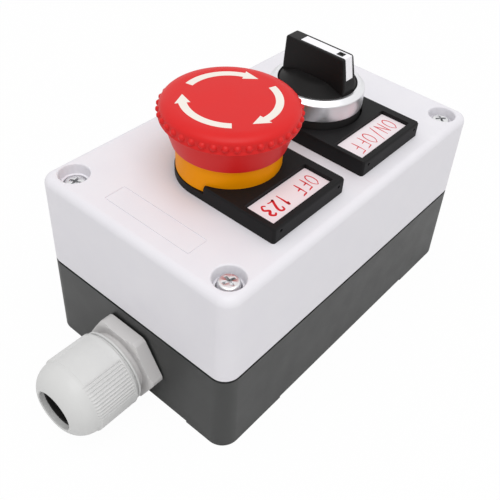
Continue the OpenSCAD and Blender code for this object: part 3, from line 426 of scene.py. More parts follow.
FOOT_L, FOOT_W = 25, 14.5
RELIEF_IN, RELIEF_H = 2.6, 0.9
WALL_HOLE_X, WALL_HOLE_Y, WALL_HOLE_R = 44, 22, 2.2
GLAND_HOLE_R, GLAND_SEAT_R = 10.1, 11.6
GROOVE_W, GROOVE_DEEP = 1.5, 1.62
POCKET_Z, POCKET_L, POCKET_Y = 1.3, 5.3, 14.05


def enclosure_base():
    """The dark base: flared sides, corner feet, a seam step, posts, wall holes, gland's hole."""
    rings = [flared(inset, z) for inset, z in BASE_FOOT]
    rings += [flared(0, SEAM - SEAM_H), flared(SEAM_IN, SEAM - SEAM_H), flared(SEAM_IN, SEAM)]
    obj = stack("base", rings)
    boolean(obj, stack("inner", [boxed(WALL, WALL), boxed(WALL, SEAM + OVER)]))
    for x, y in SCREW_PLACES:
        boolean(obj, drum(x, y, BASE_POST_R, OVER, SEAM), "UNION")
    for x, y in SCREW_PLACES:
        boolean(obj, drum(x, y, SHANK_R, SEAM - SHANK_IN, SEAM + OVER))
    for sx, sy in CORNERS:
        boolean(obj, drum(sx * WALL_HOLE_X, sy * WALL_HOLE_Y, WALL_HOLE_R, -OVER, WALL + OVER))
    half_x, half_y = HALF_L - FOOT_L, HALF_W - FOOT_W
    for s in (-1, 1):
        low, high = sorted((s * (HALF_W - RELIEF_IN), s * (HALF_W + OVER)))
        boolean(obj, block((-half_x, low, -OVER), (half_x, high, RELIEF_H)))
        low, high = sorted((s * (HALF_L - RELIEF_IN), s * (HALF_L + OVER)))
        boolean(obj, block((low, -half_y, -OVER), (high, half_y, RELIEF_H)))
    boolean(obj, turned(drum(0, 0, GLAND_HOLE_R, -OVER, WALL + OVER), along_gland(-1)))
    boolean(obj, turned(drum(0, 0, GLAND_SEAT_R, 0, OVER), along_gland()))
    pocket_low = (-HALF_L + WALL, GLAND_Y - POCKET_Y, POCKET_Z)
    pocket_high = (-HALF_L + WALL + POCKET_L, GLAND_Y + POCKET_Y, WALL + OVER)
    boolean(obj, block(pocket_low, pocket_high))
    outer, inner = ((WALL - GROOVE_W) / 2, (WALL + GROOVE_W) / 2)
    groove = stack("groove", [boxed(outer, SEAM - GROOVE_DEEP), boxed(outer, SEAM + OVER)])
    boolean(groove, stack("inner", [boxed(inner, SEAM - 2 * OVER), boxed(inner, SEAM + 2 * OVER)]))
    boolean(obj, groove)
    bevel(obj, BASE_BEVEL)
    return dress(smooth(obj), "enclosure_base", "root", "base_box")


def along_gland(way=1):
    """A matrix that lays an upright form along the gland's axis, from the wall outward."""
    place = Matrix.Translation((-HALF_L, GLAND_Y, GLAND_Z))
    return place @ Matrix.Rotation(math.radians(-90 * way), 4, "Y")


# Cable gland, drawn upright with its axis through the origin

HEX_AF, HEX_ROUND = 24.4, 0.35
HEX_LOW, HEX_HIGH = 0.65, 5.0
# The hexagon's turned outer edge, as insets from its tips and drops from its top
HEX_SLOPE = [(0, 1.05), (0.5, 0.7), (1.0, 0.4), (1.6, 0.15), (2.2, 0)]
HEX_CHAMFER, HEX_FOOT, FILLET = 0.12, 0.5, 0.25
SPIGOT_R, SPIGOT_END = 9.6, 17
SEAL_R, SEAL_END = 11.6, 0.8
CLAW_R, CLAW_IN_R, CLAW_END = 8.9, 7.8, 21.4
BORE_R, BORE_END = 7, 9
THREAD_R, THREAD_END, THREAD_EDGE = 10, -10.5, 0.4
NUT_START, NUT_END = 7.1, 28.6
NUT_R, LIP_R, LIP_IN_R, LIP_END, NUT_BODY = 12.3, 11.8, 11.1, 7.9, 8.7
NUT_IN_R = 9.7
LIP_EDGE, LIP_FILLET = 0.33, 0.1
# The body's first edge, and how far inside NUT_R a row stays clear of the ribs
BODY_IN, BODY_UP, ROW_IN = 0.3, 0.25, 0.02
DOME_R, DOME_STEP = 7.2, 0.5
MOUTH_R, MOUTH_ROUND, MOUTH_DEEP = 6.45, 0.5, 5
# Ribs to a zone, and in degrees the zone's width, the first one's place and their pitch
RIBS, RIB_ZONE, ZONE_FIRST, ZONE_PITCH = 11, 56, 60, 120
RIB_START, RIB_STOP, RIB_ROWS = 0.9, 0.2, 8
RIB_DEEP, RIB_CREST, PLAIN_DEEP = 0.34, 1.4, 0.05


def gland_hexagon():
    """The gland's body: hexagon, spigot and the sleeve through the wall."""
    tip = HEX_AF / math.sqrt(3)
    sides = [(tip, HEX_LOW + HEX_CHAMFER)] + [(tip - x, HEX_HIGH - drop) for x, drop in HEX_SLOPE]
    profile = [(SPIGOT_R - 2, SEAL_END), (SEAL_R, SEAL_END), (SEAL_R, HEX_LOW), (tip - HEX_FOOT, HEX_LOW)]
    profile += sides
    profile += [(SPIGOT_R + FILLET, HEX_HIGH), (SPIGOT_R, HEX_HIGH + FILLET), (SPIGOT_R, SPIGOT_END),
                (CLAW_R, CLAW_END), (CLAW_IN_R, CLAW_END), (CLAW_IN_R, BORE_END), (BORE_R, BORE_END),
                (BORE_R, THREAD_END), (THREAD_R - THREAD_EDGE, THREAD_END),
                (THREAD_R, THREAD_END + THREAD_EDGE), (THREAD_R, SEAL_END - 0.1)]

    def shape(a, r, z):
        turn = (a + math.pi / 6) % (math.pi / 3) - math.pi / 6
        reach = min(HEX_AF / 2 / math.cos(turn), tip - HEX_ROUND)
        return min(r, reach) if (r, z) in sides else min(r, reach - HEX_CHAMFER)

    obj = lathe("hexagon", profile, steps=360, shape=shape, closed=True)
    turned(obj, along_gland())
    return dress(smooth(obj, 30), "gland_hexagon", "root", "gland_body")


def rib_depth(a):
    """How deep the dome nut's surface lies at an angle: ribbed in three zones, plain between."""
    turn = (math.degrees(a) - ZONE_FIRST) % ZONE_PITCH
    turn = turn - ZONE_PITCH if turn > ZONE_PITCH / 2 else turn
    if abs(turn) > RIB_ZONE / 2 + 1:
        return PLAIN_DEEP
    if abs(turn) > RIB_ZONE / 2:
        return 2 * PLAIN_DEEP
    wave = 0.5 - 0.5 * math.cos(2 * math.pi * (turn / RIB_ZONE + 0.5) * RIBS)
    return RIB_DEEP * min(1, RIB_CREST * wave)


def gland_nut():
    """The dome nut: a lip, three ribbed zones between plain ones, and a dome with its mouth."""
    dome_x = NUT_R - DOME_STEP - DOME_R
    reach = math.sqrt(DOME_R ** 2 - (MOUTH_R + MOUTH_ROUND - dome_x) ** 2)
    dome_start = NUT_END - reach
    rib_low, rib_high = NUT_BODY + RIB_START, dome_start - RIB_STOP
    dome = arc((dome_x, dome_start), DOME_R, 4, math.degrees(math.asin(reach / DOME_R)), 18)
    profile = rounded([
        (NUT_IN_R, NUT_START, 0), (LIP_R, NUT_START, LIP_EDGE), (LIP_R, LIP_END, LIP_EDGE),
        (LIP_IN_R, LIP_END, LIP_FILLET), (LIP_IN_R, NUT_BODY, LIP_FILLET),
        (NUT_R - BODY_IN, NUT_BODY, 0)], step=20)
    profile += [(NUT_R - ROW_IN, NUT_BODY + BODY_UP), (NUT_R - ROW_IN, rib_low - 0.1)]
    profile += [(NUT_R, rib_low + (rib_high - rib_low) * k / RIB_ROWS) for k in range(RIB_ROWS + 1)]
    profile += dome + [(MOUTH_R + 0.15, NUT_END - 0.05), (MOUTH_R, NUT_END - 0.25),
                       (MOUTH_R, NUT_END - MOUTH_DEEP), (NUT_IN_R, SPIGOT_END + 1)]

    def shape(a, r, z):
        return r - rib_depth(a) if r == NUT_R else r

    obj = turned(lathe("nut", profile, steps=720, shape=shape, closed=True), along_gland())
    return dress(smooth(obj, 28), "gland_nut", "root", "gland_dome_nut")


# Legend holders and labels

HOLDER_R, HOLDER_CORNER = 15.4, 0.9
HOLDER_T, FRAME_H = 2.4, 4.9
FRAME_START, REACH = 4.7, 29.6
SEAT_R, SEAT_IN = 15.15, 0.05
CHAMFER, CHAMFER_IN, HOLDER_BEVEL = 0.6, 0.4, 0.25
LABEL_L, LABEL_W = 25.6, 9.7
LABEL_X, LABEL_Y = -0.6, -22.6
LABEL_TOP = TOP + FRAME_H - 1.2
LABEL_T, LABEL_GAP, LABEL_R = 0.6, 0.1, 0.4
# A label's rings, as insets and depths
LABEL_ROWS = [(0.05, LABEL_T), (0, LABEL_T - 0.1), (0, 0.08), (0.08, 0)]
PIN_X, PIN_UP, PIN_R = 12.6, 3.2, 0.5


def holder_ring(x, inset, z):
    """A ring round a holder, drawn in by inset: round at the back, straight to its front."""
    half, r = HOLDER_R - inset, HOLDER_CORNER - inset
    ring = arc((x, 0), half, 0, 180, 48)
    ring += arc((x - half + r, -REACH + inset + r), r, 180, 270, 6)
    ring += arc((x + half - r, -REACH + inset + r), r, 270, 360, 6)
    return [(px, py, z) for px, py in ring]


def legend_holder(name, x, node):
    """A legend holder: a plate round the operator with a raised frame for its label."""
    obj = stack("holder", [holder_ring(x, 0, TOP), holder_ring(x, 0, TOP + FRAME_H - CHAMFER),
                           holder_ring(x, CHAMFER_IN, TOP + FRAME_H)])
    low = (x - HOLDER_R - OVER, -FRAME_START, TOP + HOLDER_T)
    boolean(obj, block(low, (x + HOLDER_R + OVER, HOLDER_R + OVER, TOP + FRAME_H + OVER)))
    boolean(obj, drum(x, 0, SEAT_R, TOP + HOLDER_T - SEAT_IN, TOP + FRAME_H + OVER, steps=96))
    boolean(obj, drum(x, 0, PANEL_R, TOP - OVER, TOP + HOLDER_T + OVER))
    half_l, half_w = LABEL_L / 2 + LABEL_GAP, LABEL_W / 2 + LABEL_GAP
    low = (x + LABEL_X - half_l, LABEL_Y - half_w, LABEL_TOP - LABEL_T)
    high = (x + LABEL_X + half_l, LABEL_Y + half_w, TOP + FRAME_H + OVER)
    boolean(obj, block(low, high))
    for s in (-1, 1):
        place = Matrix.Translation((x + s * PIN_X, -REACH, TOP + PIN_UP))
        pin = drum(0, 0, PIN_R, -OVER, OVER, steps=24)
        boolean(obj, turned(pin, place @ Matrix.Rotation(math.pi / 2, 4, "X")))
    bevel(obj, HOLDER_BEVEL)
    return dress(smooth(obj), name, "root", node)


def legend_label(name, x, node):
    """The white label in its holder."""
    rings = []
    for inset, depth in LABEL_ROWS:
        rings.append(outline(LABEL_L - 2 * inset, LABEL_W - 2 * inset, LABEL_R, LABEL_TOP - depth,
                             (x + LABEL_X, LABEL_Y), 4))
    return dress(smooth(stack(name, rings)), name, "root", node)


# Emergency stop

# The crown's flat radius and height, and the power and rows that round its shoulder
CROWN_R, CROWN_H, CROWN_POWER, CROWN_ROWS = 15, 2.4, 0.8, 30
RIM_R, RIM_LOW, RIM_ROWS = 19.15, 79.3, 7
BEADS, BEAD_TURN, BEAD_R, BEAD_DEEP = 40, 2.3, 19.97, 1.1
BEAD_SHARE, BEAD_TOP, BEAD_ARCH, BEAD_LOW, BEAD_FOOT = 0.32, 81.2, 0.8, 80.9, 0.7
FLANGE_R, FLANGE_TOP, FLANGE_EDGE, FLANGE_BLEND = 19.5, 80.2, 79.6, 0.25
SKIRT_TOP_R, SKIRT_R, SKIRT_IN_R, SKIRT_TOP = 18.4, 16.2, 15.4, RIM_LOW - 0.3
# Beads are put on the rows outside and above these
BEADED_R, BEADED_LOW = SKIRT_TOP_R + 0.5, RIM_LOW + 0.05
HUB_R, HUB_LOW, HUB_BORE_R, HUB_BORE_TOP = 7, 72.6, 4.05, 80.6


def bead_reach(a, z):
    """How far the rim's beads reach at an angle and height: upright bumps with arched tops."""
    turn = ((a - math.radians(BEAD_TURN)) * BEADS / (2 * math.pi) + 0.5) % 1 - 0.5
    up = max(0, z - BEAD_TOP) / BEAD_ARCH + max(0, BEAD_LOW - z) / BEAD_FOOT
    flat = 1 - (turn / BEAD_SHARE) ** 2 - up ** 2
    return BEAD_R - BEAD_DEEP * (1 - math.sqrt(flat)) if flat > 0 else 0


def estop_head():
    """The mushroom head: flat top, round shoulder, beads over a thin flange, tapered skirt."""
    crown_low = HEAD_TOP - CROWN_H
    shoulder = []
    for k in range(CROWN_ROWS):
        t = math.radians(90 / CROWN_ROWS * k)
        shoulder.append((CROWN_R + (RIM_R - CROWN_R) * math.sin(t),
                         crown_low + CROWN_H * math.cos(t) ** CROWN_POWER))
    shoulder.append((RIM_R, crown_low))
    drop = (crown_low - FLANGE_TOP - FLANGE_BLEND) / RIM_ROWS
    rim = [(RIM_R, crown_low - drop * k) for k in range(1, RIM_ROWS + 1)]
    flange = rounded([(RIM_R, FLANGE_TOP + FLANGE_BLEND, 0), (RIM_R, FLANGE_TOP, 0.4),
                      (FLANGE_R, FLANGE_EDGE, 0.3), (FLANGE_R, RIM_LOW, 0.2),
                      (SKIRT_TOP_R, RIM_LOW, 0.15), (SKIRT_TOP_R, SKIRT_TOP, 0)], step=18)
    skirt = rounded([(SKIRT_TOP_R, SKIRT_TOP, 0), (SKIRT_R, HEAD_LOW, 0.25),
                     (SKIRT_IN_R, HEAD_LOW, 0), (SKIRT_IN_R, crown_low, 0)], step=18)
    inner = [(HUB_R, crown_low), (HUB_R, HUB_LOW), (HUB_BORE_R, HUB_LOW),
             (HUB_BORE_R, HUB_BORE_TOP), (0, HUB_BORE_TOP)]
    profile = [(0, HEAD_TOP), (CROWN_R / 2, HEAD_TOP)] + shoulder + rim
    profile += flange[1:] + skirt[1:] + inner

    def shape(a, r, z):
        return max(r, bead_reach(a, z)) if r > BEADED_R and z > BEADED_LOW else r

    obj = lathe("head", profile, (ESTOP_X, 0), steps=800, shape=shape)
    return dress(smooth(obj, 40), "estop_mushroom", "estop_twist", "estop_head")


ARROW_R, ARROW_W, ARROW_TIP = 13, 2.2, 4.2
ARROW_FIRST, ARROW_SWEEP, TIP_SWEEP = 103, 96, 19
ARROW_IN, ARROW_OUT = 0.3, 0.04


def estop_arrows():
    """Three white arrows that chase each other clockwise."""
    centre = (ESTOP_X, 0)
    obj = None
    for k in range(3):
        first = ARROW_FIRST - 120 * k
        neck, point = first - ARROW_SWEEP + TIP_SWEEP, first - ARROW_SWEEP
        ring = arc(centre, ARROW_R + ARROW_W / 2, first, neck, 24)
        tip = ((ARROW_R + ARROW_TIP / 2, neck), (ARROW_R, point), (ARROW_R - ARROW_TIP / 2, neck))
        ring += [arc(centre, r, a, a, 1)[0] for r, a in tip]
        ring += arc(centre, ARROW_R - ARROW_W / 2, neck, first, 24)
        part = prism(ring, HEAD_TOP - ARROW_IN, HEAD_TOP + ARROW_OUT)
        obj = boolean(obj, part, "UNION") if obj else part
    return dress(smooth(obj), "estop_arrow_inlay", "estop_twist", "estop_arrows")


COLLAR_BORE_R, COLLAR_WALL, COLLAR_FLOOR = 11.0, 1.2, 1.5
APRON_T, APRON_H = 0.4, 0.95


def estop_collar():
    """The yellow collar under the head, with an apron over its seal."""
    low, high = collar_low.z, collar_high.z
    r = (collar_high.x - collar_low.x) / 2
    profile = rounded([(COLLAR_BORE_R, low, 0), (r - APRON_T, low, 0), (r - APRON_T, low - APRON_H, 0),
                       (r, low - APRON_H, 0.15), (r, high, 0.2),
                       (r - COLLAR_WALL, high, 0.2), (r - COLLAR_WALL, low + COLLAR_FLOOR, 0),
                       (COLLAR_BORE_R, low + COLLAR_FLOOR, 0)], closed=True)
    obj = lathe("collar", profile, (ESTOP_X, 0), closed=True)
    return dress(smooth(obj), "estop_collar_ring", "root", "estop_collar")


WIRE_SIDES, WIRE_ROWS = 10, 40
# Each spring's joint, turns, wire and how far its joint shortens it
SPRINGS = {
    "estop_return_spring": ("estop_press", 4, 1.2, 5.6),
    "estop_nc_spring": ("estop_nc_travel", 5, 0.5, 5.6),
    "estop_no_spring": ("estop_no_travel", 5, 0.5, 5.6),
    "selector_left_spring": ("selector_left_travel", 5, 0.5, 2.1),
    "selector_right_spring": ("selector_right_travel", 5, 0.5, 2.1)}


def coil_spring(node, joint, turns, wire, travel):
    """A coil spring in its node's place."""
    low, high = span(node)
    centre, tall = (low + high) / 2, high.z - low.z
    reach = (high.x - low.x - wire) / 2
    section = arc((reach, 0), wire / 2, 0, 360 * (1 - 1 / WIRE_SIDES), WIRE_SIDES - 1)
    count = WIRE_ROWS * turns
    rings = []
    for k in range(count + 1):
        a = 2 * math.pi * turns * k / count
        z = low.z + wire / 2 + (tall - wire) * k / count
        rings.append([(centre.x + r * math.cos(a), centre.y + r * math.sin(a), z + up)
                      for r, up in section])
    obj = dress(smooth(stack("spring", rings)), node + "_coil", "root", node)
    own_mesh(obj)


# Selector

BEZEL_R, BEZEL_LOW, BEZEL_TOP = 14.8, bezel_low.z, bezel_high.z
# The bezel's bright bevel, as a drop from its top and an inset
BRIGHT_DROP, BRIGHT_IN = 1.2, 1.5
SLEEVE_R, SLEEVE_H = 14.55, 0.6
DISC_R, DISC_LOW, DISC_GAP, DISC_DROP = 12.0, BEZEL_LOW + 1.2, 0.3, 0.2
DOME_TOP, DOME_FLAT_R, DOME_ROUND = BEZEL_TOP + 2, 6, 8
HANDLE_TOP = TOP + 24.7
HANDLE_NEAR, HANDLE_FAR, NEAR_LEAN, FAR_LEAN = 11.7, 11.7, 1.8, 0.1
# Half the handle's width, how much of it goes towards the top, and its corners' radius
HANDLE_HALF, HANDLE_THIN, HANDLE_R = 3.1, 0.45, 0.6
# The handle's rings, as heights and insets
HANDLE_ROWS = [(DISC_LOW + OVER, 0), (BEZEL_TOP, 0), (DOME_TOP, 0), (HANDLE_TOP - 0.6, 0),
               (HANDLE_TOP - 0.3, 0.06), (HANDLE_TOP - 0.1, 0.17), (HANDLE_TOP, 0.35)]
KNOB_BEVEL, INSERT_BEVEL = 0.18, 0.12
INSERT_END, INSERT_LOW, INSERT_T, INSERT_HALF, INSERT_GAP = 6.7, TOP + 18, 1, 1.65, 0.05
PEG_Y, PEG_HALF, PEG_DROP, PIT_HALF, PIT_DEEP = -7.1, 1.1, 0.02, 0.5, 0.3


def selector_bezel():
    """The chrome bezel with its bright bevel."""
    inner = DISC_R + DISC_GAP
    profile = rounded([
        (inner, BEZEL_LOW, 0), (SLEEVE_R, BEZEL_LOW, 0), (SLEEVE_R, BEZEL_LOW - SLEEVE_H, 0),
        (BEZEL_R, BEZEL_LOW - SLEEVE_H, 0.1), (BEZEL_R, BEZEL_TOP - BRIGHT_DROP, 0.6),
        (BEZEL_R - BRIGHT_IN, BEZEL_TOP, 0.4), (inner, BEZEL_TOP, 0.2)], closed=True, step=15)
    obj = lathe("bezel", profile, (SELECTOR_X, 0), steps=192, closed=True)
    return dress(smooth(obj, 50), "selector_bezel_ring", "root", "selector_bezel")


def selector_knob():
    """The black knob: a low dome that carries a flat handle with a window for the insert."""
    profile = rounded([(0, DISC_LOW, 0), (DISC_R, DISC_LOW, 0), (DISC_R, BEZEL_TOP - DISC_DROP, 0.4),
                       (DOME_FLAT_R, DOME_TOP, DOME_ROUND), (0, DOME_TOP, 0)], step=10)
    obj = lathe("knob", profile, (SELECTOR_X, 0), steps=128)
    rings = []
    for z, draw in HANDLE_ROWS:
        lift = max(0, (z - DOME_TOP) / (HANDLE_TOP - DOME_TOP))
        low_y = -HANDLE_NEAR + NEAR_LEAN * lift + 2 * draw
        high_y = HANDLE_FAR - FAR_LEAN * lift - 2 * draw
        half = HANDLE_HALF - HANDLE_THIN * lift - draw
        rings.append(outline(2 * half, high_y - low_y, HANDLE_R - draw / 2, z,
                             (SELECTOR_X, (low_y + high_y) / 2), 5))
    boolean(obj, stack("blade", rings), "UNION")
    boolean(obj, insert_form(INSERT_GAP, OVER))
    peg_low = HANDLE_TOP - INSERT_T - OVER / 2
    boolean(obj, peg_form(PEG_HALF - INSERT_GAP, peg_low, HANDLE_TOP - PEG_DROP), "UNION")
    boolean(obj, peg_form(PIT_HALF, HANDLE_TOP - PIT_DEEP, HANDLE_TOP + OVER))
    bevel(obj, KNOB_BEVEL, angle=45, segments=2)
    return dress(smooth(obj), "selector_handle", "selector_rotor", "selector_knob")


def insert_form(gap, out):
    """The insert's form: along the handle's top, then down its near end."""
    lean = NEAR_LEAN / (HANDLE_TOP - DOME_TOP)
    low_z = INSERT_LOW - gap
    low_y = -HANDLE_NEAR + (INSERT_LOW - DOME_TOP) * lean
    near_y = -HANDLE_NEAR + NEAR_LEAN
    under = INSERT_T + gap
    ring = [(INSERT_END + gap, HANDLE_TOP + out), (INSERT_END + gap, HANDLE_TOP - under),
            (near_y + under, HANDLE_TOP - under), (low_y + under, low_z), (low_y - out, low_z),
            (near_y - out, HANDLE_TOP + out)]
    half = INSERT_HALF + gap
    return stack("insert", [[(SELECTOR_X + s * half, y, z) for y, z in ring] for s in (-1, 1)])


def peg_form(half, low, high):
    """A square block at the peg's place in the insert."""
    return block((SELECTOR_X - half, PEG_Y - half, low), (SELECTOR_X + half, PEG_Y + half, high))


def selector_insert():
    """The white insert that points the handle, with its small square window."""
    obj = insert_form(0, 0)
    boolean(obj, peg_form(PEG_HALF, HANDLE_TOP - 3 * INSERT_T, HANDLE_TOP + OVER))
    bevel(obj, INSERT_BEVEL, segments=2)
    return dress(smooth(obj), "selector_pointer", "selector_rotor", "selector_insert")


# Cover screws

SCREW_R, PAN_R, PAN_H, PAN_EDGE, PAN_CROWN = 1.95, 3.05, 2.1, 0.8, 0.1
TIP_R, TIP_START, TIP_END = 1.2, 0.6, 2
# The cross's slots at their floor and above the head: half a length, half a width, a height
CROSS_FLOOR, CROSS_MOUTH = (1.2, 0.3, 0.5), (1.95, 0.42, PAN_H + 0.3)
SCREW_BEVEL = 0.08
# How far each screw is turned in past its seat, and how its cross stands
SCREW_SINKS, CROSS_TURNS = (0, 1.6, 0.5, 0.9), (75, 20, 50, 110)


def cover_screws():
    """The four pan-head cover screws, each with a cross recess, as one piece."""
    whole = bmesh.new()
    for place, sink, turn in zip(SCREW_PLACES, SCREW_SINKS, CROSS_TURNS):
        seat = TOP - RECESS_DEEP - sink
        profile = rounded([(0, SCREW_LOW, 0), (TIP_R, SCREW_LOW + TIP_START, 0),
                           (SCREW_R, SCREW_LOW + TIP_END, 0), (SCREW_R, seat, 0), (PAN_R, seat, 0),
                           (PAN_R, seat + PAN_H - PAN_CROWN, PAN_EDGE), (0, seat + PAN_H, 0)], step=10)
        screw = lathe("screw", profile, place, steps=64)
        for way in (turn, turn + 90):
            rings = [[(-x, -y, seat + up), (x, -y, seat + up), (x, y, seat + up), (-x, y, seat + up)]
                     for x, y, up in (CROSS_FLOOR, CROSS_MOUTH)]
            matrix = Matrix.Translation((*place, 0)) @ Matrix.Rotation(math.radians(way), 4, "Z")
            boolean(screw, turned(stack("slot", rings), matrix))
        bevel(screw, SCREW_BEVEL, segments=2)
        whole.from_mesh(screw.data)
        bpy.data.meshes.remove(screw.data)
    mesh = bpy.data.meshes.new("screws")
    whole.to_mesh(mesh)
    whole.free()
    obj = bpy.data.objects.new("screws", mesh)
    bpy.context.scene.collection.objects.link(obj)
    return dress(smooth(obj), "cover_screw_set", "root", "cover_screws")


# Pen marks on the labels, each letter as strokes through points in a unit square

GLYPHS = {
    "O": [[(0.5, 1), (0.1, 0.75), (0.05, 0.3), (0.4, 0), (0.85, 0.2), (0.95, 0.7), (0.6, 1.02),
           (0.4, 0.97)]],
    "N": [[(0.05, 0), (0.1, 0.5), (0.1, 1)], [(0.1, 1), (0.5, 0.5), (0.85, 0.02)],
          [(0.85, 0), (0.88, 0.5), (0.95, 1.05)]],
    "F": [[(0.15, 0), (0.12, 0.5), (0.15, 1)], [(0.1, 1), (0.5, 1.02), (0.9, 1.08)],
          [(0.12, 0.5), (0.4, 0.52), (0.7, 0.56)]],
    "/": [[(0.1, -0.15), (0.45, 0.5), (0.8, 1.15)]],
    "1": [[(0.3, 0.8), (0.55, 1.02), (0.5, 0.5), (0.5, 0)]],
    "2": [[(0.1, 0.75), (0.3, 1), (0.75, 0.95), (0.75, 0.65), (0.1, 0.02), (0.1, 0), (0.5, 0.05),
           (0.95, 0)]],
    "3": [[(0.1, 0.9), (0.5, 1.02), (0.85, 0.8), (0.4, 0.55), (0.85, 0.3), (0.5, 0), (0.1, 0.12)]]}
# Each label's words: text, letter height and width, pitch, and first and last stroke
WORDS = {
    "estop": ("OFF 123", 4.6, 2.3, 3.1, (0.38, 0.85)),
    "selector": ("ON/OFF", 5.2, 2.6, 3.6, (0.36, 0.36))}
INK_LOW, INK_HIGH = 0.002, 0.03
# Points to a stroke's leg, its ends' share of its width, and how early it thins: 1 is at its end
LEG_POINTS, END_SHARE, THIN_PACE = 8, 0.55, 1.2
# How far letters stray from the line, in waves of so many radians a letter
STRAY, STRAY_TURN = 0.25, 2.1


def stroke(points, width):
    """The two sides of a pen stroke with soft ends, on a smooth curve through points."""
    dense = []
    ends = [points[0]] + points + [points[-1]]
    for i in range(1, len(ends) - 2):
        a, b, c, d = (Vector(p) for p in ends[i - 1:i + 3])
        for k in range(LEG_POINTS):
            t = k / LEG_POINTS
            dense.append(0.5 * ((2 * b) + (c - a) * t + (2 * a - 5 * b + 4 * c - d) * t * t
                                + (3 * b - a - 3 * c + d) * t ** 3))
    dense.append(Vector(points[-1]))
    sides = []
    for i, p in enumerate(dense):
        ahead = dense[min(i + 1, len(dense) - 1)] - dense[max(i - 1, 0)]
        ahead = ahead.normalized() if ahead.length > TINY else Vector((1, 0))
        share = min(1, THIN_PACE * i / (len(dense) - 1))
        half = width / 2 * (END_SHARE + (1 - END_SHARE) * math.sin(math.pi * share))
        side = Vector((-ahead.y, ahead.x)) * half
        sides.append((p + side, p - side))
    return sides


def pen_marks(name, x, text, height, width, pitch, pens):
    """Words in red pen on a label, tops to the front, from a first to a last width of stroke."""
    points, faces = [], []
    start = x + LABEL_X + pitch * len(text) / 2
    for i, letter in enumerate(text):
        for path in GLYPHS.get(letter, []):
            lift = LABEL_Y + height / 2 + STRAY * math.sin(i * STRAY_TURN)
            line = [(start - i * pitch - u * width, lift - v * height) for u, v in path]
            first = len(points)
            for pair in stroke(line, pens[0] + (pens[1] - pens[0]) * i / (len(text) - 1)):
                points += [(p.x, p.y, LABEL_TOP + z) for p in pair for z in (INK_LOW, INK_HIGH)]
            last = len(points) - 4
            for a in range(first, last, 4):
                b = a + 4
                faces += [(a + 1, a + 3, b + 3, b + 1), (a, b, b + 2, a + 2),
                          (a, a + 1, b + 1, b), (a + 2, b + 2, b + 3, a + 3)]
            faces += [(first, first + 2, first + 3, first + 1), (last, last + 1, last + 3, last + 2)]
    obj = make(name, points, faces)
    obj.data.materials.append(PEN_INK)
    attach(obj, "root")


# Floor, world and lamp, with lengths in metres

FLOOR_REACH, FLOOR_Z = 3, -0.0001
FLOOR_GREY, FLOOR_ROUGH, FLOOR_SEEN = 0.82, 0.9, 0.97
WORLD_LIGHT = 0.72
KEY_PLACE, KEY_TARGET, KEY_SIZE, KEY_POWER = (-0.17, -0.2, 0.9), (0, 0, 0.05), 0.7, 3.9


def either(nodes, links, first, second):
    """The larger of two outputs."""
    node = nodes.new("ShaderNodeMath")
    node.operation = "MAXIMUM"
    links.new(first, node.inputs[0])
    links.new(second, node.inputs[1])
    return node.outputs["Value"]


def studio_floor():
    """A pale floor that the camera sees as white, with the object's shadow kept."""
    mesh = bpy.data.meshes.new("floor")
    sides = ((-1, -1), (1, -1), (1, 1), (-1, 1))
    ring = [(sx * FLOOR_REACH, sy * FLOOR_REACH, FLOOR_Z) for sx, sy in sides]
    mesh.from_pydata(ring, [], [(0, 1, 2, 3)])
    floor = bpy.data.objects.new("floor", mesh)
    bpy.context.scene.collection.objects.link(floor)
    mat = bpy.data.materials.new("floor")
    mat.use_nodes = True
    nodes, links = mat.node_tree.nodes, mat.node_tree.links
    shader = nodes["Principled BSDF"]
    shader.inputs["Base Color"].default_value = (FLOOR_GREY, FLOOR_GREY, FLOOR_GREY, 1)
    shader.inputs["Roughness"].default_value = FLOOR_ROUGH
    glow = nodes.new("ShaderNodeEmission")
    path = nodes.new("ShaderNodeLightPath")
    share = nodes.new("ShaderNodeMath")
    share.operation = "MULTIPLY"
    share.inputs[1].default_value = FLOOR_SEEN
    mix = nodes.new("ShaderNodeMixShader")
    links.new(path.outputs["Is Camera Ray"], share.inputs[0])
    links.new(share.outputs["Value"], mix.inputs["Fac"])
    links.new(shader.outputs["BSDF"], mix.inputs[1])
    links.new(glow.outputs["Emission"], mix.inputs[2])
    links.new(mix.outputs["Shader"], nodes["Material Output"].inputs["Surface"])
    mesh.materials.append(mat)


def studio_world():
    """A plain soft world that the camera, metal and glass see as white."""
    world = bpy.data.worlds.new("studio")
    bpy.context.scene.world = world
    world.use_nodes = True
    nodes, links = world.node_tree.nodes, world.node_tree.links
    back = nodes["Background"]
    back.inputs["Color"].default_value = (1, 1, 1, 1)
    back.inputs["Strength"].default_value = WORLD_LIGHT
    seen = nodes.new("ShaderNodeBackground")
    seen.inputs["Color"].default_value = (1, 1, 1, 1)
    seen.inputs["Strength"].default_value = 1
    path = nodes.new("ShaderNodeLightPath")
    direct = either(nodes, links, path.outputs["Is Camera Ray"], path.outputs["Is Transmission Ray"])
    mix = nodes.new("ShaderNodeMixShader")
    links.new(either(nodes, links, direct, path.outputs["Is Glossy Ray"]), mix.inputs["Fac"])
    links.new(back.outputs["Background"], mix.inputs[1])
    links.new(seen.outputs["Background"], mix.inputs[2])
    links.new(mix.outputs["Shader"], nodes["World Output"].inputs["Surface"])


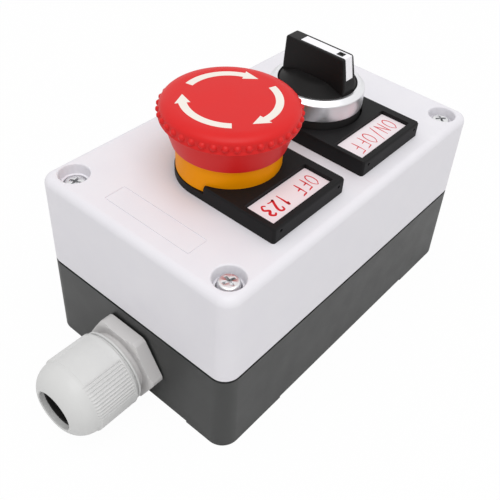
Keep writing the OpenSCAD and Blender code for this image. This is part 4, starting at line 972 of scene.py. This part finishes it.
def key_lamp():
    """A large soft lamp over the near left corner."""
    light = bpy.data.lights.new("key", "AREA")
    light.size = KEY_SIZE
    light.energy = KEY_POWER
    obj = bpy.data.objects.new("key", light)
    obj.location = KEY_PLACE
    way = Vector(KEY_TARGET) - Vector(KEY_PLACE)
    obj.rotation_euler = way.to_track_quat("-Z", "Y").to_euler()
    bpy.context.scene.collection.objects.link(obj)


# The camera, fitted to the photograph: its place in millimetres and its axes
EYE = Vector((-142.171, -106.947, 182.866))
AHEAD = Vector((0.59647, 0.43133, -0.67689))
RIGHT = Vector((0.63679, -0.76767, 0.07195))
FOCAL_PX, IMAGE_PX = 702.48, 500
CENTRE_PX = (275.0, 241.4)


def camera():
    """The camera at the photograph's angle."""
    lens = bpy.data.cameras.new("camera")
    lens.sensor_width = 36
    lens.lens = FOCAL_PX / IMAGE_PX * lens.sensor_width
    lens.shift_x = (IMAGE_PX / 2 - CENTRE_PX[0]) / IMAGE_PX
    lens.shift_y = (CENTRE_PX[1] - IMAGE_PX / 2) / IMAGE_PX
    lens.clip_start = 0.01
    obj = bpy.data.objects.new("camera", lens)
    up = RIGHT.cross(AHEAD).normalized()
    axes = Matrix((RIGHT.normalized(), up, -AHEAD.normalized())).transposed().to_4x4()
    obj.matrix_world = Matrix.Translation(EYE * MM) @ axes
    bpy.context.scene.collection.objects.link(obj)
    bpy.context.scene.camera = obj
    bpy.context.scene.view_settings.view_transform = "Standard"


def build():
    """Makes every piece, and paints the nodes that stay as the frame gives them."""
    for name, obj in frame["nodes"].items():
        obj.data.materials.clear()
        obj.data.materials.append(FINISH[SLOT[name]])
    enclosure_cover()
    enclosure_base()
    gland_hexagon()
    gland_nut()
    for name, x in (("estop", ESTOP_X), ("selector", SELECTOR_X)):
        legend_holder(name + "_holder", x, name + "_legend_holder")
        legend_label(name + "_label", x, name + "_legend_label")
        pen_marks(name + "_pen_marks", x, *WORDS[name])
    estop_head()
    estop_arrows()
    estop_collar()
    for node, facts in SPRINGS.items():
        coil_spring(node, *facts)
    selector_bezel()
    selector_knob()
    selector_insert()
    cover_screws()
    studio_floor()
    studio_world()
    key_lamp()
    camera()


build()
